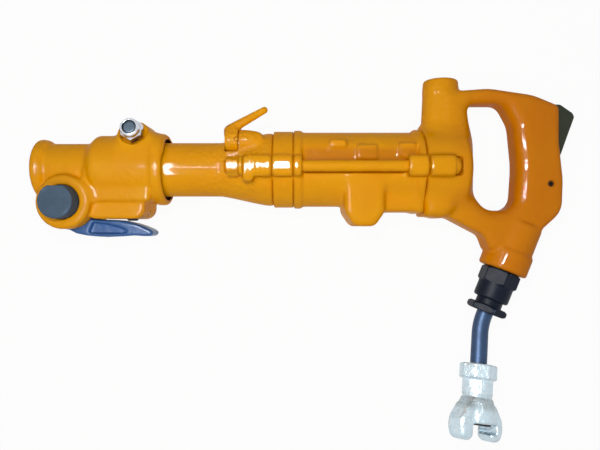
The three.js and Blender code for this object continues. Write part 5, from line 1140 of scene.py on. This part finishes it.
claw_outline = rounded([
    (-22, 9.5), (-16, 18.5, 4), (-4, 27.2, 12), (5, 27.8, 9), (15, 24.5, 9), (15, 12, 6), (-3, 12)])
claw_half_width, groove_x, groove_radius = 10, -23, 12.8
claw = Shape(
    lambda x, y, z: corner_distance(outline_distance(claw_outline, x, y), np.abs(z) - claw_half_width, 5),
    (-22, 0, -claw_half_width), (15, 29, claw_half_width))
catch = brick((0.3, -5, -6), (8, 17.8, 30))
groove = Shape(
    lambda x, y, z: np.maximum(groove_radius - np.sqrt(y * y + z * z), np.abs(x - groove_x) - 1.0),
    (groove_x - 1, -20, -20), (groove_x + 1, 20, 20))
print("a claw reaches", round(claw_outline[:, 1].max(), 1), "mm off the hose's axis")

# %% Cast the coupling
fitting_start = -fitting_hexagon - fitting_neck - fitting_head
fitting_flats, fitting_neck_radius, fitting_head_radius = 31.5, 13.6, 17.5
fitting = Block((fitting_start, -30, -30), (15, 30, 30), 0.6, coupling)
fitting.add(prism(fitting_start, -38.5, fitting_flats, 8, 22.5, 0.8))
fitting.add(turned([
    (-39, fitting_neck_radius), (-25, fitting_neck_radius), (-20, fitting_neck_radius + 1),
    (-12, fitting_head_radius - 0.5), (-6, fitting_head_radius), (0, fitting_head_radius)]), blend=1.2)
fitting.add(*claws(claw), blend=2.5)
fitting.cut(groove, *claws(catch), blend=1).sand(0.7)
tube_hole, air_hole, gasket_hole = 7.9, 8, 13.3
fitting.cut(turned([
    (fitting_start - overrun, tube_hole), (-39.7, tube_hole), (-39.6, air_hole), (-5, air_hole),
    (-4.9, gasket_hole), (overrun, gasket_hole)])).sand(0.3)
fitting.cast("claw_coupling", "swivel", galvanised, ["coupling_body"])

# %% [markdown]
# ## Swivel tube, by Geometry Nodes
# The tube follows a rule: straight, then an arc, then straight again. That is a path, and
# a path is best kept as one, so a small node tree moves the points of a line onto it and
# sweeps a circle along. Its sizes are named inputs, so the same tree could bend another
# tube. A class like the one for shaders keeps the arithmetic readable.

# %% A workshop for geometry trees
class Tree(Graph):
    """A Geometry Nodes tree with named inputs, ending in Realize Instances and Set Material."""

    def __init__(self, name, **inputs):
        super().__init__(bpy.data.node_groups.new(name, "GeometryNodeTree"))
        self.tree.interface.new_socket("Geometry", in_out="INPUT", socket_type="NodeSocketGeometry")
        self.tree.interface.new_socket("Geometry", in_out="OUTPUT", socket_type="NodeSocketGeometry")
        self.values = inputs
        for label, value in inputs.items():
            kind = "NodeSocketInt" if isinstance(value, int) else "NodeSocketFloat"
            self.tree.interface.new_socket(label, in_out="INPUT", socket_type=kind)
        self.tree.interface.new_socket("Finish", in_out="INPUT", socket_type="NodeSocketMaterial")
        self.entry = self.tree.nodes.new("NodeGroupInput")

    def __getitem__(self, label):
        return Wire(self, self.entry.outputs[label])

    def build(self, result, start, name, body, finish, stands_for, home=drill):
        """Runs the tree on the mesh `start` and keeps the outcome as a plain mesh piece."""
        real = self.node("GeometryNodeRealizeInstances", {}, {0: result})
        dressed = self.node("GeometryNodeSetMaterial", {}, {"Geometry": real, "Material": self["Finish"]})
        self.node("NodeGroupOutput", {}, {0: dressed})
        worker = bpy.data.objects.new(name + "_worker", start)
        bpy.context.scene.collection.objects.link(worker)
        modifier = worker.modifiers.new("nodes", "NODES")
        modifier.node_group = self.tree
        for item in self.tree.interface.items_tree:
            if item.in_out == "INPUT" and item.name in self.values:
                modifier[item.identifier] = self.values[item.name]
            if item.in_out == "INPUT" and item.name == "Finish":
                modifier[item.identifier] = finish.material
        evaluated = worker.evaluated_get(bpy.context.evaluated_depsgraph_get())
        mesh = bpy.data.meshes.new_from_object(evaluated)
        bpy.data.objects.remove(worker)
        mesh.name = name
        mesh.transform(home)
        return place(mesh, body, finish, stands_for)


print("node groups before the first tree:", len(bpy.data.node_groups))

# %% Bend the tube
tube_start, tube_insert = 13.7, 12
bent = Tree("bent_tube", Points=90, Start=tube_start, Straight=bend_start - tube_start,
            Bend_Radius=bend_radius, Bend_Angle=bend, Straight_End=float(after_bend + tube_insert),
            Tube_Radius=7.6)
line = bent.node("GeometryNodeCurvePrimitiveLine", {}, {"Start": (0, 0, 0), "End": (1, 0, 0)})
line = bent.node("GeometryNodeResampleCurve", {}, {"Curve": line, "Count": bent["Points"]})
share = bent.node("GeometryNodeSplineParameter")
arc_length = bent["Bend_Radius"] * bent["Bend_Angle"]
run = share * (bent["Straight"] + arc_length + bent["Straight_End"])
first = run.maths("MINIMUM", run, bent["Straight"])
past = run.maths("MINIMUM", run.maths("MAXIMUM", run - bent["Straight"], 0.0), arc_length)
turn = run.maths("DIVIDE", past, bent["Bend_Radius"])
rest = run - first - past
sine, cosine = run.maths("SINE", turn), run.maths("COSINE", turn)
path_x = bent["Start"] + first + bent["Bend_Radius"] * sine + rest * cosine
path_y = bent["Bend_Radius"] * (1 - cosine) + rest * sine
path = bent.node("ShaderNodeCombineXYZ", {}, {"X": path_x, "Y": path_y})
line = bent.node("GeometryNodeSetPosition", {}, {"Geometry": line, "Position": path})
circle = bent.node("GeometryNodeCurvePrimitiveCircle", {}, {"Resolution": 40, "Radius": bent["Tube_Radius"]})
swept = bent.node("GeometryNodeCurveToMesh", {}, {"Curve": line, "Profile Curve": circle, "Fill Caps": True})
empty = bpy.data.meshes.new("empty")
bent.build(swept, empty, "swivel_tube_bent", "swivel", tube_steel, ["swivel_tube"], tube)

# %% [markdown]
# ## Side rods, their nuts and washers
# Two long bolts pull the barrel, the ring, the cylinder and the handle together, one on
# each side. What is the same on both sides is made once and repeated: a tree places the
# unit on a line of points, near and far. The rods were painted in place with the castings.

# %% Lathe, and a tree that repeats a unit on both sides
def lathed(name, profile, sides=40):
    """A mesh turned about the x axis from stations and radii, closed at both ends."""
    angles = np.arange(sides) * 2 * math.pi / sides
    points = [(x, r * math.cos(a), r * math.sin(a)) for x, r in profile for a in angles]
    last = len(profile) - 1
    faces = [(i * sides + k, i * sides + (k + 1) % sides, (i + 1) * sides + (k + 1) % sides,
              (i + 1) * sides + k) for i in range(last) for k in range(sides)]
    faces += [tuple(range(sides))[::-1], tuple(range(last * sides, last * sides + sides))]
    return plain_mesh(name, points, faces)


def on_both_sides(unit, name, finish, stands_for, soft_degrees=35):
    """Repeats a unit mesh, in drill millimetres, on the near and the far rod."""
    tree = Tree(name + "_repeat", Count=2, Offset=float(rod_offset))
    first_place = tree.node("ShaderNodeCombineXYZ", {}, {"Z": tree["Offset"]})
    step_back = tree.node("ShaderNodeCombineXYZ", {}, {"Z": tree["Offset"] * -2.0})
    places = tree.node("GeometryNodeMeshLine", {}, {
        "Count": tree["Count"], "Start Location": first_place, "Offset": step_back})
    copies = tree.node("GeometryNodeInstanceOnPoints", {}, {"Points": places, "Instance": tree["Geometry"]})
    made = tree.build(copies, unit, name, "casing", finish, stands_for)
    made.data.set_sharp_from_angle(angle=math.radians(soft_degrees))


print("a unit is repeated", rod_offset, "mm off the axis, near and far")

# %% Side rods and washers
rod_head, rod_head_round, thread_start, pitch, thread_root = 18.2, 24.5, -180.3, 0.8, 4.35
head_profile = [(rod_head, rod_radius), (rod_head, 7.9), (rod_head + 0.4, 8.2), (rod_head_round, 8.0)]
head_profile += [(rod_head_round + 5.2 * math.sin(a), 7.9 * math.cos(a) + 0.02)
                 for a in np.linspace(0.2, math.pi / 2, 9)]
thread = [(thread_start, 3.9)]
for k in range(6):
    crest = thread_start + 0.6 + k * pitch
    thread += [(crest - pitch / 2, thread_root), (crest, rod_radius)]
rod = [*thread, (-175.2, rod_radius), (rod_head - 0.2, rod_radius), *head_profile]
on_both_sides(lathed("rod", rod), "side_rods", enamel, ["side_rod_near", "side_rod_far"])
washer_start, washer_end, washer_hole, washer_rim = -166.6, -163.6, 5.3, 8.8
washer = [(washer_start, washer_hole), (washer_start, washer_rim - 0.4), (washer_start + 0.3, washer_rim),
          (washer_end - 0.3, washer_rim), (washer_end, washer_rim - 0.4), (washer_end, washer_hole)]
on_both_sides(
    lathed("washer", washer), "side_rod_washers", enamel, ["side_rod_washer_near", "side_rod_washer_far"])

# %% Side rod nuts
nut_end, nut_length, nut_flats = washer_start - seat_gap, 11, 15.4
nut = Block((nut_end - nut_length, -10, -10), (nut_end, 10, 10), 0.35)
nut.add(prism(nut_end - nut_length, nut_end, nut_flats, 6)).sand(0.3)
nut.cut(bar((-180, 0, 0), (-164, 0, 0), rod_radius + seat_gap))
nut_mesh = plain_mesh("nut", *nut.surface())
on_both_sides(nut_mesh, "side_rod_nuts", enamel, ["side_rod_nut_near", "side_rod_nut_far"], 180)

# %% [markdown]
# ## Springs
# Both springs are hidden, in the plunger housing and in the throttle. They are wound all
# the same: a spiral path with a round wire swept along it.

# %% A tree that winds springs
def wound(name, turns, coil_radius, wire, length, home, stands_for):
    """A coil along the z axis of `home`."""
    tree = Tree(name + "_winding", Turns=float(turns), Coil_Radius=coil_radius, Wire_Radius=wire,
                Length=length)
    spiral = tree.node("GeometryNodeCurveSpiral", {}, {
        "Resolution": 32, "Rotations": tree["Turns"], "Start Radius": tree["Coil_Radius"],
        "End Radius": tree["Coil_Radius"], "Height": tree["Length"]})
    section = tree.node("GeometryNodeCurvePrimitiveCircle", {}, {
        "Resolution": 10, "Radius": tree["Wire_Radius"]})
    coil = tree.node("GeometryNodeCurveToMesh", {}, {
        "Curve": spiral, "Profile Curve": section, "Fill Caps": True})
    made = tree.build(coil, empty, name, "casing", bright_steel, stands_for, home)
    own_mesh(made)


for name in ("plunger_press", "throttle_slide"):
    print(name, "travels", round(1000 * max(joint_named[name]["range_m"]), 1), "mm")

# %% Wind both springs
plunger_low, plunger_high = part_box("plunger_spring")
plunger_wire, plunger_start = 0.5, (plunger_low.y - drill.translation.y) * 1000
wound("plunger_coil", 4, 4.0, plunger_wire, (plunger_high.y - plunger_low.y) * 1000 - 2 * plunger_wire,
      drill @ moved(plunger_x, plunger_start + plunger_wire) @ turned_by(-90, "X"),
      ["plunger_spring"])
throttle_low, throttle_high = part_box("throttle_spring")
throttle_wire, throttle_start = 0.4, (throttle_low.x - drill.translation.x) * 1000
wound("throttle_coil", 3, 3.4, throttle_wire, (throttle_high.x - throttle_low.x) * 1000 - 2 * throttle_wire,
      drill @ moved(throttle_start + throttle_wire, float(throttle_y)) @ turned_by(90, "Y"),
      ["throttle_spring"])

# %% [markdown]
# ## Parts that keep their CAD shape
# Turned and ground parts inside the drill are right as they are. They only change their
# finish, through the material slots of the CAD objects.

# %% Finishes for the carried-over parts
kept_finishes = {
    bright_steel: [
        "latch_key_pin", "latch_plunger", "plunger_pin", "blow_valve_spindle", "chuck_sleeve",
        "chuck_bushing", "piston", "rifle_bar", "pawl_1", "pawl_2", "pawl_3", "pawl_4", "ratchet_ring",
        "rear_bearing_plate", "valve_chest", "valve_cover", "valve_plate", "throttle_valve"],
    bronze: ["stem_bushing", "chuck_driver", "rifle_nut", "throttle_bushing", "inlet_strainer"],
    # The trigger pin's near-black finish is painted shade for the hole it sits in.
    dark_bronze: ["trigger_pin"],
    rubber: ["swivel_seal", "coupling_gasket"],
    enamel: ["tower_plug", "blow_valve_cross_pin"],
}
for finish, nodes in kept_finishes.items():
    for node_name in nodes:
        for material_slot in frame["nodes"][node_name].material_slots:
            material_slot.material = finish.material
print("carried over:", sum(len(nodes) for nodes in kept_finishes.values()))

# %% [markdown]
# ## Studio
# The photograph has a plain white ground. A white floor under honest light would need so
# much of it that the paint washed out, so the floor and the world show white to the
# camera, to mirrors and to glass only, through Light Path, while the light on the drill
# stays at a plain level. The floor keeps a part of its own shading, and with it the
# drill's shadow.

# %% World
def seen_directly(graph):
    """1 for camera, mirror and glass rays, 0 for the rays that carry light."""
    rays = [graph.node("ShaderNodeLightPath", output=f"Is {kind} Ray")
            for kind in ("Camera", "Glossy", "Transmission")]
    return rays[0].maths("MAXIMUM", rays[0].maths("MAXIMUM", rays[0], rays[1]), rays[2])


world = bpy.data.worlds.new("studio")
world.use_nodes = True
bpy.context.scene.world = world
sky = Graph(world.node_tree)
sky.tree.nodes.clear()
lit = sky.node("ShaderNodeBackground", {}, {"Color": (1.0, 0.90, 0.80, 1.0), "Strength": 0.2})
shown = sky.node("ShaderNodeBackground", {}, {"Color": (1, 1, 1, 1), "Strength": 1.0})
both = sky.node("ShaderNodeMixShader", {}, {0: seen_directly(sky), 1: lit, 2: shown})
sky.node("ShaderNodeOutputWorld", {}, {"Surface": both})
print("world nodes:", len(sky.tree.nodes))

# %% Floor
floor_half, floor_z, floor_glow = 3, -0.0004, 0.95
floor_corners = [(x * floor_half, y * floor_half, floor_z) for x, y in ((-1, -1), (1, -1), (1, 1), (-1, 1))]
floor_mesh = plain_mesh("floor", floor_corners, [(0, 1, 2, 3)])
floor = bpy.data.objects.new("floor", floor_mesh)
bpy.context.scene.collection.objects.link(floor)
paper = Finish("white_paper", Base_Color=(0.8, 0.8, 0.8, 1), Roughness=0.9)
glow = paper.node("ShaderNodeEmission", {}, {"Color": (1, 1, 1, 1), "Strength": 1.0})
lit_paper = Wire(paper, paper.shader.outputs[0])
both = paper.node("ShaderNodeMixShader", {}, {0: seen_directly(paper) * floor_glow, 1: lit_paper, 2: glow})
paper.tree.links.new(both.socket, paper.tree.nodes["Material Output"].inputs["Surface"])
floor_mesh.materials.append(paper.material)
print("floor:", 2 * floor_half, "m wide")

# %% [markdown]
# ## Lamps
# Most of the light is soft and comes from the foot of the picture. The photo's glints tell
# where its other lamps hung: a flash above the lens, mirrored in the flat lug, a strip
# beside it, and a tall window on the left, mirrored on the barrel. The strip and the
# window are only seen in mirror images, so that they don't light the paint as well.

# %% Lamps
def lamp(name, offset, size, watts, mirrored=True, lights=True):
    """A rectangular lamp that hangs at an offset from the camera and shines straight down."""
    data = bpy.data.lights.new(name, "AREA")
    data.shape, data.size, data.size_y, data.energy = "RECTANGLE", *size, watts
    made = bpy.data.objects.new(name, data)
    made.location = camera.location + Vector(offset)
    made.visible_glossy, made.visible_diffuse = mirrored, lights
    bpy.context.scene.collection.objects.link(made)


lamp("strip", (-0.16, 0.107, 0.03), (0.28, 0.008), 2.0, lights=False)
lamp("flash", (-0.036, 0.107, 0.03), (0.034, 0.014), 1.1)
lamp("window", (-0.245, 0.04, 0), (0.014, 0.42), 4.0, lights=False)
lamp("soft_box", (-0.08, -0.2, 0.25), (0.5, 0.5), 2.9, mirrored=False)

# %% [markdown]
